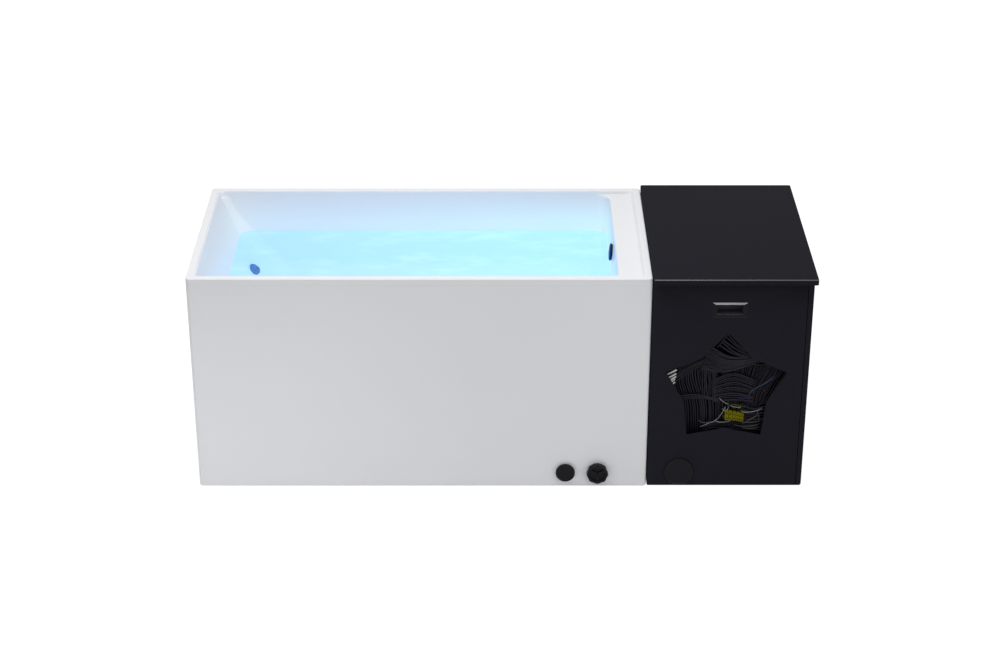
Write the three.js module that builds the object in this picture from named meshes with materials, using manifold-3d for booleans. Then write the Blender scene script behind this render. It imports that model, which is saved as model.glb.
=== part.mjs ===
// Cold plunge tub: an acrylic basin in a straight skirt, with a chiller cabinet at one end.
// Millimetres, +Z up. Inside this file x runs from the tub's left end, y from its front face
// to its back and z from the floor. The root group then puts the origin under the middle.
import * as THREE from 'three';
import { mergeVertices } from 'three/addons/utils/BufferGeometryUtils.js';
import Module from 'manifold-3d';

const wasm = await Module();
wasm.setup();

// Tub
const tubLength = 1500;
const tubDepth = 750;
const tubHeight = 770;
const tubCorner = 12;
const skirtWall = 6;
const skirtFloorGap = 2;
const skirtFootRound = 5;
const rimWidth = 26;
const rimThickness = 20;
const rimRound = 4;
const deckWidth = 82;
const deckStep = 12;
const deckCove = 12;
const deckEdgeRound = 6;
const floorHeight = 180;
const basinWall = 6;
const basinFloorRound = 90;
const basinCorner = 52;
const rimInnerCorner = 18;
const backrestSlope = 27;
const cabinetEndSlope = 4.5;
const sideSlope = 10;

// What carries the basin
const railSize = 40;
const railWall = 3;
const railLeftX = 480;
const railRightInset = 420;
const footInset = 110;
const footRadius = 30;
const footStud = 8;
const footPadHeight = 14;

// Fittings in the basin
const overflowDrop = 76;
const overflowRadius = 30;
const fittingWall = 4;
const overflowBore = 14;
const overflowTail = 40;
const jetDrop = 267;
const jetY = 493;
const jetRadius = 33;
const jetBarrel = 24;
const jetBall = 19.4;
const jetTail = 60;
const floorDrainInset = 310;
const floorDrainRadius = 38;
const floorDrainBarrel = 24;
const lockNutHeight = 14;
const lockNutMargin = 12;

// Fittings low on the front
const frontFittingZ = 58;
const drainOutletInset = 165;
const drainKnobRadius = 36;
const drainKnobReach = 19;
const drainKnobLobes = 8;
const drainKnobLobeDepth = 3.5;
const portInset = 272;
const portCapRadius = 32;
const portCapReach = 10;
const outletBarrel = 20;
const outletFlange = 4;
const outletTail = 44;

// Cabinet
const cabinetGap = 2;
const cabinetWidth = 518;
const cabinetFrontSetback = 2;
const cabinetBackSetback = 12;
const sheet = 2;
const sideFlange = 26;
const cornerStrip = 17;
const lidThickness = 20;
const lidRise = 12;
const lidFrontReach = 32;
const lidRightReach = 8;
const lidEdgeRound = 3;
const lidCorner = 5;
const panelDepth = 38;
const panelTopGap = 5;
const panelLip = 24;
const seam = 2;
const sillHeight = 3;
const sillTop = 6;
const baseTop = 29;
const basePlate = 3;
const railWeb = 46;
const railFlange = 26;
const magnetWidth = 34;
const magnetHeight = 14;
const magnetDepth = 12;
const magnetSpread = 150;
const louvreCount = 11;
const louvreHeight = 8;
const louvrePitch = 22;
const louvreBackWidth = 250;
const louvreSideWidth = 210;
const louvreFirstZ = 80;

// Lid hinge
const hingeKnuckle = 4.2;
const hingePin = 2;
const hingeLeaf = 2;
const hingeLeafReach = 30;
const hingeEndInset = 40;
const hingeKnuckles = 5;

// Front panel
const starOuter = 208;
const starInner = 143;
const starHeightShare = 0.48;
const pullDrop = 99;
const pullWidth = 116;
const pullHeight = 60;
const pullProud = 6;
const pullBevel = 10;
const pullMouthWidth = 84;
const pullMouthHeight = 30;
const pullCupDepth = 24;
const portCoverX = 106;
const portCoverZ = 57;
const portCoverRadius = 49;
const portCoverBarrel = 40;
const portCoverProud = 6;

// Wiring behind the star
const loomPlateY = 46;
const loomPlateMargin = 45;
const loomLayer = 9;
const cableSag = 3;
const glandRadius = 14;
const glandNeck = 10;
const glandHead = 8;
const glandInset = 60;
const glandZ = 420;

// Chiller and filter
const filterX = 88;
const filterY = 375;
const filterRadius = 55;
const filterHeight = 380;
const filterWall = 5;
const filterCollar = 20;
const filterCapHeight = 36;
const filterCapRibs = 14;
const filterCapRib = 3;
const filterCrown = 12;
const exchangerY = 560;
const exchangerRadius = 55;
const exchangerHeight = 420;
const exchangerCap = 26;
const feedZ = 300;
const hoseAxisZ = 128;
const returnAxisZ = 400;
const hoseRadius = 16;
const thinHoseRadius = 13;
const hosePassGap = 6;
const stubReach = 22;
const pumpX = 198;
const pumpRadius = 52;
const pumpVoluteLength = 46;
const pumpMotorRadius = 44;
const pumpMotorLength = 140;
const pumpCoverLength = 40;
const pumpOutletReach = 30;
const compressorX = 258;
const compressorY = 200;
const compressorRadius = 72;
const compressorHeight = 255;
const compressorFoot = 4;
const compressorBowl = 40;
const condenserX = 190;
const condenserWidth = 300;
const condenserHeight = 310;
const condenserDepth = 50;
const condenserFins = 14;
const condenserFin = 5;
const condenserCore = 16;
const condenserBackGap = 20;
const fanFrameSize = 230;
const fanFrameDepth = 34;
const fanRadius = 92;
const fanTipGap = 6;
const fanHub = 26;
const fanStrut = 5;
const fanBlades = 5;
const bladeHalf = 1;
const copperRadius = 5;
const liquidRise = 60;
const controlBoxWidth = 140;
const controlBoxHeight = 220;
const controlBoxDepth = 62;

// Clearance between pieces that touch
const touch = 0.3;

// Values that follow from the dimensions above
const rimZ = tubHeight;
const basinFloorZ = floorHeight;
const basinDepth = tubHeight - floorHeight;
const basinUndersideZ = basinFloorZ - basinWall;
const midY = tubDepth / 2;
const railRightX = tubLength - railRightInset;
const floorDrainX = tubLength - floorDrainInset;
const drainOutletX = tubLength - drainOutletInset;
const portX = tubLength - portInset;
const cabinetLeft = tubLength + cabinetGap;
const cabinetRight = cabinetLeft + cabinetWidth;
const cabinetFront = cabinetFrontSetback;
const cabinetBack = tubDepth - cabinetBackSetback;
const lidTop = tubHeight + lidRise;
const lidBottom = lidTop - lidThickness;
const lidRight = cabinetRight + lidRightReach;
const panelRight = cabinetRight - cornerStrip - seam;
const panelLeft = cabinetLeft;
const panelCentreX = (panelLeft + panelRight) / 2;
const panelTop = lidBottom - panelTopGap;
const panelBottom = sillTop + touch;
const panelBackY = cabinetFront + panelDepth;
const pullCentreZ = panelTop - pullDrop;
const starCentreZ = panelBottom + (panelTop - panelBottom) * starHeightShare;
const loomPlateTop = starCentreZ + starOuter + loomPlateMargin;
const insideLeft = cabinetLeft + sheet;
const insideRight = cabinetRight - sheet;
const sideBackY = cabinetBack - sheet - touch;
const sideFrontY = panelBackY + seam;
const baseFrontY = sideFrontY + sheet + seam;
const outerLength = lidRight;
const outerFront = -lidFrontReach;
const outerBack = tubDepth;

// How finely round forms are cut into flats
const roundSides = 16;
const smallSides = 12;
const hoseSides = 8;
const cornerSteps = 6;
const smallCornerSteps = 2;

// Materials
function paint(color, roughness, metalness) {
  return new THREE.MeshStandardMaterial({ color, roughness, metalness });
}
const acrylic = paint(0xe9ebee, 0.25, 0);
const powderCoat = paint(0x232227, 0.6, 0.1);
const blackPlastic = paint(0x15161a, 0.45, 0);
const navyPlastic = paint(0x0f2d5a, 0.35, 0);
const hosePlastic = paint(0xd8dadd, 0.5, 0);
const rubber = paint(0x1c1c1e, 0.9, 0);
const steel = paint(0x9a9da1, 0.4, 0.9);
const aluminium = paint(0xb9bcc0, 0.45, 0.9);
const copper = paint(0xb5764a, 0.35, 0.9);
const cableBlack = paint(0x1a1b1f, 0.6, 0);
const terminalYellow = paint(0xd9b53a, 0.5, 0);
const connectorWhite = paint(0xe6e6e4, 0.5, 0);

// Solids: join and cut
function toSolid(geometry) {
  const bare = new THREE.BufferGeometry();
  bare.setAttribute('position', geometry.getAttribute('position').clone());
  bare.setIndex(geometry.index ? geometry.index.clone() : null);
  const welded = mergeVertices(bare, 1e-3);
  const corners = [];
  for (let i = 0; i < welded.index.count; i += 3) {
    const a = welded.index.getX(i);
    const b = welded.index.getX(i + 1);
    const c = welded.index.getX(i + 2);
    if (a !== b && b !== c && c !== a) corners.push(a, b, c);
  }
  const vertProperties = new Float32Array(welded.getAttribute('position').array);
  if (signedVolume(vertProperties, corners) < 0) corners.reverse();
  const triVerts = new Uint32Array(corners);
  return new wasm.Manifold(new wasm.Mesh({ numProp: 3, vertProperties, triVerts }));
}

function signedVolume(points, corners) {
  const at = (i) => new THREE.Vector3(points[3 * i], points[3 * i + 1], points[3 * i + 2]);
  let sum = 0;
  for (let i = 0; i < corners.length; i += 3) {
    sum += at(corners[i]).dot(at(corners[i + 1]).cross(at(corners[i + 2])));
  }
  return sum / 6;
}

function toGeometry(solid) {
  const mesh = solid.getMesh();
  const geometry = new THREE.BufferGeometry();
  geometry.setAttribute('position', new THREE.BufferAttribute(new Float32Array(mesh.vertProperties), 3));
  geometry.setIndex(new THREE.BufferAttribute(new Uint32Array(mesh.triVerts), 1));
  geometry.computeVertexNormals();
  return geometry;
}

function cut(geometry, ...tools) {
  let solid = toSolid(geometry);
  for (const tool of tools) solid = solid.subtract(toSolid(tool));
  return toGeometry(solid);
}

function join(...geometries) {
  let solid = toSolid(geometries[0]);
  for (const other of geometries.slice(1)) solid = solid.add(toSolid(other));
  return toGeometry(solid);
}

// Shapes
function slab(x0, x1, y0, y1, z0, z1) {
  const box = new THREE.BoxGeometry(x1 - x0, y1 - y0, z1 - z0);
  return box.translate((x0 + x1) / 2, (y0 + y1) / 2, (z0 + z1) / 2);
}

function rod(start, end, radius, sides = roundSides) {
  const along = new THREE.Vector3().subVectors(end, start);
  const cylinder = new THREE.CylinderGeometry(radius, radius, along.length(), sides);
  cylinder.translate(0, along.length() / 2, 0);
  const turn = new THREE.Quaternion().setFromUnitVectors(new THREE.Vector3(0, 1, 0), along.normalize());
  return cylinder.applyQuaternion(turn).translate(start.x, start.y, start.z);
}

const at = (x, y, z) => new THREE.Vector3(x, y, z);

// A cutting rod whose flats, not its corners, clear a round body of the given radius
function hole(start, end, radius, sides = roundSides) {
  return rod(start, end, (radius + touch) / Math.cos(Math.PI / sides), sides);
}

// A body turned about the local Z axis from [radius, height] pairs; a bored one repeats its first pair.
function turned(profile, sides = roundSides) {
  const points = profile.map(([radius, height]) => new THREE.Vector2(radius, height));
  return new THREE.LatheGeometry(points, sides).rotateX(Math.PI / 2);
}

function outline(points) {
  return new THREE.Shape(points.map(([a, b]) => new THREE.Vector2(a, b)));
}

// An outline in x and z, given thickness along y
function frontPlate(shape, y0, y1) {
  const plate = new THREE.ExtrudeGeometry(shape, { depth: y1 - y0, bevelEnabled: false });
  return plate.rotateX(Math.PI / 2).translate(0, y1, 0);
}

// An outline in y and z, run along x
function alongX(shape, x0, x1) {
  const bar = new THREE.ExtrudeGeometry(shape, { depth: x1 - x0, bevelEnabled: false });
  const turn = new THREE.Matrix4().makeBasis(at(0, 1, 0), at(0, 0, 1), at(1, 0, 0));
  return bar.applyMatrix4(turn).translate(x0, 0, 0);
}

// An outline in x and y, raised along z
function raised(shape, z0, z1) {
  const bar = new THREE.ExtrudeGeometry(shape, { depth: z1 - z0, bevelEnabled: false });
  return bar.translate(0, 0, z0);
}

function hose(points, radius, sides = hoseSides, steps = 40) {
  const section = new THREE.Shape().absarc(0, 0, radius, 0, 2 * Math.PI);
  const path = new THREE.CatmullRomCurve3(points, false, 'centripetal');
  return new THREE.ExtrudeGeometry(section, { steps, curveSegments: sides / 2, extrudePath: path });
}

// A skin through rings of equal count; it closes on its first ring, or is capped at both ends.
function loft(rings, closed = false) {
  const count = rings[0].length;
  const positions = rings.flat().flatMap((p) => [p.x, p.y, p.z]);
  const index = [];
  const bands = closed ? rings.length : rings.length - 1;
  for (let r = 0; r < bands; r += 1) {
    const near = r * count;
    const far = ((r + 1) % rings.length) * count;
    for (let i = 0; i < count; i += 1) {
      const j = (i + 1) % count;
      index.push(near + i, near + j, far + j, near + i, far + j, far + i);
    }
  }
  if (!closed) {
    index.push(...cap(rings[0], 0, true));
    index.push(...cap(rings.at(-1), (rings.length - 1) * count, false));
  }
  const geometry = new THREE.BufferGeometry();
  geometry.setAttribute('position', new THREE.Float32BufferAttribute(positions, 3));
  geometry.setIndex(index);
  return geometry;
}

function cap(ring, first, flip) {
  const normal = new THREE.Vector3();
  ring.forEach((p, i) => normal.add(new THREE.Vector3().crossVectors(p, ring[(i + 1) % ring.length])));
  normal.normalize();
  const side = new THREE.Vector3().subVectors(ring[1], ring[0]).normalize();
  const up = new THREE.Vector3().crossVectors(normal, side);
  const flat = ring.map((p) => new THREE.Vector2(p.dot(side), p.dot(up)));
  const faces = THREE.ShapeUtils.triangulateShape(flat, []);
  const corners = faces.flat().map((corner) => first + corner);
  return flip ? corners.reverse() : corners;
}

// A rounded rectangle as points, with one radius for each end; place() turns (a, b) into a point.
function roundedRing(a0, a1, b0, b1, radiusLow, radiusHigh, place, steps = cornerSteps) {
  const corners = [
    [a1 - radiusHigh, b1 - radiusHigh, radiusHigh, 0],
    [a0 + radiusLow, b1 - radiusLow, radiusLow, 1],
    [a0 + radiusLow, b0 + radiusLow, radiusLow, 2],
    [a1 - radiusHigh, b0 + radiusHigh, radiusHigh, 3],
  ];
  return corners.flatMap(([a, b, radius, quarter]) => Array.from({ length: steps + 1 }, (_, step) => {
    const angle = (quarter + step / steps) * Math.PI / 2;
    return place(a + radius * Math.cos(angle), b + radius * Math.sin(angle));
  }));
}

// Scene graph
const tub = new THREE.Group();
tub.position.set(-outerLength / 2, -(outerFront + outerBack) / 2, 0);

// Every piece is welded, and its faces are turned outwards
function piece(name, geometry, material, parent = tub) {
  const mesh = new THREE.Mesh(toGeometry(toSolid(geometry)), material);
  mesh.name = name;
  parent.add(mesh);
  return mesh;
}

// A group at a point, whose local Z axis is turned to a direction
function seat(position, direction) {
  const group = new THREE.Group();
  group.position.copy(position);
  group.quaternion.setFromUnitVectors(at(0, 0, 1), direction.clone().normalize());
  tub.add(group);
  return group;
}

const slope = (degrees) => Math.tan(THREE.MathUtils.degToRad(degrees));
const tilt = (degrees) => THREE.MathUtils.degToRad(degrees);

// Basin walls: how far each inner wall stands in from the skirt at a depth below the rim
function wallInset(depth) {
  return {
    left: rimWidth + depth * slope(backrestSlope),
    right: rimWidth + deckWidth + Math.max(0, depth - deckStep) * slope(cabinetEndSlope),
    side: rimWidth + depth * slope(sideSlope),
  };
}

function basinRing(inset, depth, leftCorner, rightCorner) {
  const place = (x, y) => at(x, y, rimZ - depth);
  const right = tubLength - inset.right;
  return roundedRing(inset.left, right, inset.side, tubDepth - inset.side, leftCorner, rightCorner, place);
}

const evenInset = (inset) => ({ left: inset, right: inset, side: inset });
const grownInset = (inset, by) => ({ left: inset.left + by, right: inset.right + by, side: inset.side + by });

function basinRings() {
  const rings = [];
  const bend = [90, 60, 30, 0].map(tilt);
  for (const angle of bend) {
    const depth = basinDepth - basinFloorRound * (1 - Math.sin(angle));
    const inset = grownInset(wallInset(depth), basinFloorRound * (1 - Math.cos(angle)));
    rings.push(basinRing(inset, depth, basinCorner, basinCorner));
  }
  const lipDepth = deckStep + deckEdgeRound;
  rings.push(basinRing(wallInset(lipDepth), lipDepth, rimInnerCorner + deckEdgeRound, basinCorner));
  const edgeDepth = deckStep + touch;
  const edge = { ...wallInset(edgeDepth), right: rimWidth + deckWidth - deckEdgeRound };
  rings.push(basinRing(edge, edgeDepth, rimInnerCorner, basinCorner));
  const coveLow = { ...wallInset(deckStep), right: rimWidth + deckCove };
  rings.push(basinRing(coveLow, deckStep, rimInnerCorner, rimInnerCorner));
  const coveDepth = (deckStep + rimRound) / 2;
  const coveHigh = { ...wallInset(coveDepth), right: rimWidth + deckCove / 4 };
  rings.push(basinRing(coveHigh, coveDepth, rimInnerCorner, rimInnerCorner));
  const lip = { ...wallInset(rimRound), right: rimWidth + touch };
  rings.push(basinRing(lip, rimRound, rimInnerCorner, rimInnerCorner));
  rings.push(basinRing(evenInset(rimWidth - rimRound), 0, rimInnerCorner, rimInnerCorner));
  rings.push(basinRing(evenInset(rimRound), 0, tubCorner - rimRound, tubCorner - rimRound));
  const bevel = rimRound * (1 - Math.SQRT1_2);
  rings.push(basinRing(evenInset(bevel), bevel, tubCorner - bevel, tubCorner - bevel));
  rings.push(basinRing(evenInset(0), rimRound, tubCorner, tubCorner));
  rings.push(basinRing(evenInset(0), rimThickness, tubCorner, tubCorner));
  const outerCorner = basinCorner + basinWall;
  const underRim = grownInset(wallInset(rimThickness), -basinWall);
  rings.push(basinRing(underRim, rimThickness, outerCorner, outerCorner));
  for (const angle of bend.toReversed()) {
    const depth = basinDepth - basinFloorRound + (basinFloorRound + basinWall) * Math.sin(angle);
    const grown = basinFloorRound - (basinFloorRound + basinWall) * Math.cos(angle);
    const outside = grownInset(wallInset(Math.min(depth, basinDepth)), grown);
    rings.push(basinRing(outside, depth, outerCorner, outerCorner));
  }
  return rings;
}

// Seats of the fittings: the point on the inner wall and the wall's normal into the water
const overflowSeat = at(tubLength - wallInset(overflowDrop).right, midY, rimZ - overflowDrop);
const overflowNormal = at(-Math.cos(tilt(cabinetEndSlope)), 0, Math.sin(tilt(cabinetEndSlope)));
const jetSeat = at(wallInset(jetDrop).left, jetY, rimZ - jetDrop);
const jetNormal = at(Math.cos(tilt(backrestSlope)), 0, Math.sin(tilt(backrestSlope)));
const floorSeat = at(floorDrainX, midY, basinFloorZ);
const floorNormal = at(0, 0, 1);
const alongAxis = (seatPoint, normal, distance) => seatPoint.clone().addScaledVector(normal, distance);
const overflowBarrel = overflowBore + fittingWall;

function boreThrough(seatPoint, normal, radius) {
  const reach = 6 * basinWall;
  return hole(alongAxis(seatPoint, normal, -reach), alongAxis(seatPoint, normal, reach), radius);
}

function basin() {
  const shell = loft(basinRings());
  return cut(
    shell,
    boreThrough(overflowSeat, overflowNormal, overflowBarrel),
    boreThrough(jetSeat, jetNormal, jetBarrel),
    boreThrough(floorSeat, floorNormal, floorDrainBarrel),
  );
}
piece('basin', basin(), acrylic);

const skirtRing = (inset, z) => basinRing(evenInset(inset), rimZ - z, tubCorner - inset, tubCorner - inset);

function skirt() {
  const top = rimZ - rimThickness - touch;
  const wall = loft([
    skirtRing(skirtFootRound / 2, skirtFloorGap),
    skirtRing(0, skirtFloorGap + skirtFootRound),
    skirtRing(0, top),
    skirtRing(skirtWall, top),
    skirtRing(skirtWall, skirtFloorGap),
  ], true);
  const throughFront = (x) => hole(
    at(x, -skirtWall, frontFittingZ),
    at(x, 2 * skirtWall, frontFittingZ),
    outletBarrel,
  );
  const throughEnd = (y, z) => hole(
    at(tubLength - 2 * skirtWall, y, z),
    at(tubLength + skirtWall, y, z),
    hoseRadius + hosePassGap,
    smallSides,
  );
  return cut(
    wall,
    throughFront(drainOutletX),
    throughFront(portX),
    throughEnd(filterY, hoseAxisZ),
    throughEnd(exchangerY, returnAxisZ),
  );
}
piece('skirt', skirt(), acrylic);

// Cross rails under the basin floor, on four feet
const railTop = basinUndersideZ - touch;
const railBottom = railTop - railSize;

function crossRail(x) {
  const y0 = skirtWall + touch;
  const y1 = tubDepth - skirtWall - touch;
  const half = railSize / 2;
  const tube = slab(x - half, x + half, y0, y1, railBottom, railTop);
  const bore = half - railWall;
  const middle = (railBottom + railTop) / 2;
  return cut(tube, slab(x - bore, x + bore, y0 - railWall, y1 + railWall, middle - bore, middle + bore));
}
piece('cross_rail_left', crossRail(railLeftX), steel);
piece('cross_rail_right', crossRail(railRightX), steel);

function foot() {
  const collar = railBottom - touch - railSize / 2;
  return turned([
    [0, 0],
    [footRadius, 0],
    [footRadius, footPadHeight / 2],
    [footRadius * 0.6, footPadHeight],
    [footStud, footPadHeight],
    [footStud, collar],
    [2 * footStud, collar],
    [2 * footStud, railBottom - touch],
    [0, railBottom - touch],
  ], smallSides);
}
for (const [end, x] of [['left', railLeftX], ['right', railRightX]]) {
  for (const [side, y] of [['front', footInset], ['back', tubDepth - footInset]]) {
    piece(`tub_foot_${side}_${end}`, foot(), rubber).position.set(x, y, 0);
  }
}

// A lock nut behind a wall, with its top face at a height below the seat
function lockNut(barrel, top) {
  const ring = turned([
    [barrel + lockNutMargin, top - lockNutHeight],
    [barrel + lockNutMargin, top],
    [barrel - lockNutMargin, top],
    [barrel - lockNutMargin, top - lockNutHeight],
    [barrel + lockNutMargin, top - lockNutHeight],
  ], 6);
  const z = (height) => at(0, 0, height);
  return cut(ring, hole(z(top - 2 * lockNutHeight), z(top + lockNutHeight), barrel));
}

// Overflow on the cabinet-end wall
const flange = 3;
const overflowGroup = seat(overflowSeat, overflowNormal);
const overflowTailZ = -overflowTail;
piece('overflow_body', turned([
  [overflowBore, overflowTailZ],
  [overflowBarrel, overflowTailZ],
  [overflowBarrel, touch],
  [overflowRadius - flange, touch],
  [overflowRadius - flange, touch + flange],
  [overflowBore, touch + flange],
  [overflowBore, overflowTailZ],
]), blackPlastic, overflowGroup);

function overflowCover() {
  const low = 2 * touch + flange;
  const dome = turned([
    [0, low],
    [overflowRadius, low],
    [overflowRadius, low + flange],
    [overflowRadius * 0.8, low + 2 * flange],
    [0, low + 2 * flange],
  ]);
  const slot = overflowBore / 4;
  const slots = [-1, 0, 1].map((row) => slab(
    -overflowBore,
    overflowBore,
    2 * row * slot - slot / 2,
    2 * row * slot + slot / 2,
    0,
    low + 3 * flange,
  ));
  return cut(dome, ...slots);
}
piece('overflow_cover', overflowCover(), navyPlastic, overflowGroup);

// Return jet on the backrest: a flanged body, a swivelling eyeball and a lock nut behind the wall
const jetGroup = seat(jetSeat, jetNormal);
const jetBallHeight = flange;
const jetSocket = jetBall + touch;
piece('jet_body', turned([
  [jetSocket - fittingWall, -jetTail],
  [jetBarrel, -jetTail],
  [jetBarrel, touch],
  [jetRadius, touch],
  [jetRadius, touch + flange],
  [jetRadius - flange, 2 * flange],
  [jetSocket, 2 * flange],
  [jetSocket, -jetBall],
  [jetSocket - fittingWall, -jetBall - fittingWall],
  [jetSocket - fittingWall, -jetTail],
]), navyPlastic, jetGroup);

function jetEyeball() {
  const bore = jetBall / 2;
  const start = Math.asin(bore / jetBall);
  const arcSteps = 6;
  const arc = Array.from({ length: arcSteps + 1 }, (_, i) => {
    const angle = start + (Math.PI - 2 * start) * i / arcSteps;
    return [jetBall * Math.sin(angle), jetBallHeight - jetBall * Math.cos(angle)];
  });
  const lip = jetBallHeight + jetBall + flange;
  const neck = bore + fittingWall;
  const nozzle = [[neck, jetBallHeight + jetBall * 0.8], [neck, lip], [bore, lip]];
  return turned([...arc, ...nozzle, arc[0]], smallSides);
}
piece('jet_eyeball', jetEyeball(), navyPlastic, jetGroup);
const jetWallBack = -basinWall * Math.cos(tilt(backrestSlope)) - touch;
piece('jet_nut', lockNut(jetBarrel, jetWallBack), blackPlastic, jetGroup);

// Floor drain: a tee body with branches to the chiller and to the drain outlet, a grille and a nut
const drainBranch = floorDrainRadius + stubReach;
const branchZ = hoseAxisZ - basinFloorZ;
const floorDrainTail = hoseRadius + flange - branchZ;

function floorDrainBody() {
  const bore = floorDrainBarrel - fittingWall;
  const barrel = turned([
    [0, -floorDrainTail],
    [floorDrainBarrel, -floorDrainTail],
    [floorDrainBarrel, touch],
    [floorDrainRadius, touch],
    [floorDrainRadius, touch + flange],
    [0, touch + flange],
  ]);
  const toChiller = rod(at(0, 0, branchZ), at(drainBranch, 0, branchZ), hoseRadius, smallSides);
  const toOutlet = rod(at(0, 0, branchZ), at(0, -drainBranch, branchZ), thinHoseRadius, smallSides);
  const past = drainBranch + flange;
  return cut(
    join(barrel, toChiller, toOutlet),
    rod(at(0, 0, fittingWall - floorDrainTail), at(0, 0, 2 * flange), bore),
    rod(at(0, 0, branchZ), at(past, 0, branchZ), hoseRadius - fittingWall, smallSides),
    rod(at(0, 0, branchZ), at(0, -past, branchZ), thinHoseRadius - flange, smallSides),
  );
}
const floorGroup = seat(floorSeat, floorNormal);
piece('floor_drain_body', floorDrainBody(), blackPlastic, floorGroup);

function floorDrainGrille() {
  const low = 2 * touch + flange;
  const plate = turned([
    [0, low],
    [floorDrainRadius, low],
    [floorDrainRadius - flange, low + flange],
    [0, low + flange],
  ]);
  const holeCount = 6;
  const holes = Array.from({ length: holeCount }, (_, i) => {
    const angle = 2 * Math.PI * i / holeCount;
    const ring = floorDrainBarrel * 0.55;
    const x = ring * Math.cos(angle);
    const y = ring * Math.sin(angle);
    return rod(at(x, y, 0), at(x, y, low + 2 * flange), floorDrainBarrel / 6, 8);
  });
  return cut(plate, ...holes);
}
piece('floor_drain_grille', floorDrainGrille(), steel, floorGroup);
piece('floor_drain_nut', lockNut(floorDrainBarrel, -basinWall - touch), blackPlastic, floorGroup);

// Round fittings low on the front: local Z points out of the skirt
function outletBody(flangeRadius) {
  const bore = outletBarrel - fittingWall;
  return turned([
    [bore, -outletTail - skirtWall],
    [outletBarrel, -outletTail - skirtWall],
    [outletBarrel, touch],
    [flangeRadius, touch],
    [flangeRadius, touch + outletFlange],
    [bore, touch + outletFlange],
    [bore, -outletTail - skirtWall],
  ]);
}
const fittingFace = 2 * touch + outletFlange;
const forward = at(0, -1, 0);
const drainGroup = seat(at(drainOutletX, 0, frontFittingZ), forward);
piece('drain_outlet_body', outletBody(drainKnobRadius - flange), blackPlastic, drainGroup);

function drainKnob() {
  const steps = 6 * drainKnobLobes;
  const lobed = Array.from({ length: steps }, (_, i) => {
    const angle = 2 * Math.PI * i / steps;
    const wave = (1 + Math.cos(drainKnobLobes * angle)) / 2;
    const radius = drainKnobRadius - drainKnobLobeDepth * (1 - wave);
    return [radius * Math.cos(angle), radius * Math.sin(angle)];
  });
  const grip = raised(outline(lobed), fittingFace, fittingFace + drainKnobReach);
  const well = drainKnobRadius - 3 * drainKnobLobeDepth;
  const wellFloor = fittingFace + drainKnobReach * 0.45;
  const recess = rod(at(0, 0, wellFloor), at(0, 0, fittingFace + 2 * drainKnobReach), well);
  const ribHalf = flange;
  const ribTop = fittingFace + drainKnobReach - flange;
  const ribs = [30, 150, 270].map((degrees) => {
    const rib = slab(-ribHalf, well + ribHalf, -ribHalf, ribHalf, wellFloor - ribHalf, ribTop);
    return rib.rotateZ(tilt(degrees));
  });
  return join(cut(grip, recess), ...ribs);
}
piece('drain_knob', drainKnob(), blackPlastic, drainGroup);

const portGroup = seat(at(portX, 0, frontFittingZ), forward);
piece('port_body', outletBody(portCapRadius - flange), blackPlastic, portGroup);

function portCap() {
  const face = fittingFace + portCapReach;
  const ringWidth = 6;
  return turned([
    [0, fittingFace],
    [portCapRadius, fittingFace],
    [portCapRadius, face - flange],
    [portCapRadius - flange / 2, face],
    [portCapRadius - ringWidth, face],
    [portCapRadius - ringWidth - flange, face - flange],
    [0, face - flange],
  ]);
}
piece('port_cap', portCap(), blackPlastic, portGroup);

// Drain hose from the floor drain to the knob's outlet, overflow hose to the capped port
const outletTailY = outletTail + skirtWall + touch;
const drainBend = drainOutletX - floorDrainX;
const drainStart = midY - drainBranch - touch;
const drainRun = drainStart - outletTailY;
const drainFall = hoseAxisZ - frontFittingZ;
const straight = 4 * thinHoseRadius;
piece('drain_hose', hose([
  at(floorDrainX, drainStart, hoseAxisZ),
  at(floorDrainX, drainStart - straight, hoseAxisZ),
  at(floorDrainX + drainBend * 0.35, outletTailY + drainRun * 0.53, hoseAxisZ - drainFall * 0.36),
  at(floorDrainX + drainBend * 0.83, outletTailY + drainRun * 0.33, hoseAxisZ - drainFall * 0.85),
  at(drainOutletX, outletTailY + straight, frontFittingZ),
  at(drainOutletX, outletTailY, frontFittingZ),
], thinHoseRadius, hoseSides, 16), hosePlastic);
const overflowEnd = alongAxis(overflowSeat, overflowNormal, -overflowTail - touch);
const besideEnd = tubLength - skirtWall - 2 * thinHoseRadius;
const lowBend = outletTailY + 6 * thinHoseRadius;
const underOverflow = overflowEnd.z - frontFittingZ;
piece('overflow_hose', hose([
  overflowEnd,
  alongAxis(overflowEnd, overflowNormal, -thinHoseRadius / 2),
  at(besideEnd, midY - thinHoseRadius, frontFittingZ + underOverflow * 0.92),
  at(besideEnd, lowBend + midY * 0.25, frontFittingZ + underOverflow * 0.42),
  at(besideEnd - thinHoseRadius, lowBend + thinHoseRadius, frontFittingZ + underOverflow * 0.19),
  at(besideEnd - 5 * thinHoseRadius, lowBend - thinHoseRadius, hoseAxisZ),
  at((drainOutletX + portX) / 2 + thinHoseRadius, lowBend - thinHoseRadius, hoseAxisZ - thinHoseRadius / 2),
  at(portX + thinHoseRadius, lowBend - thinHoseRadius, hoseAxisZ - 3 * thinHoseRadius),
  at(portX, outletTailY + straight, frontFittingZ),
  at(portX, outletTailY, frontFittingZ),
], thinHoseRadius, hoseSides, 26), hosePlastic);

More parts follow.
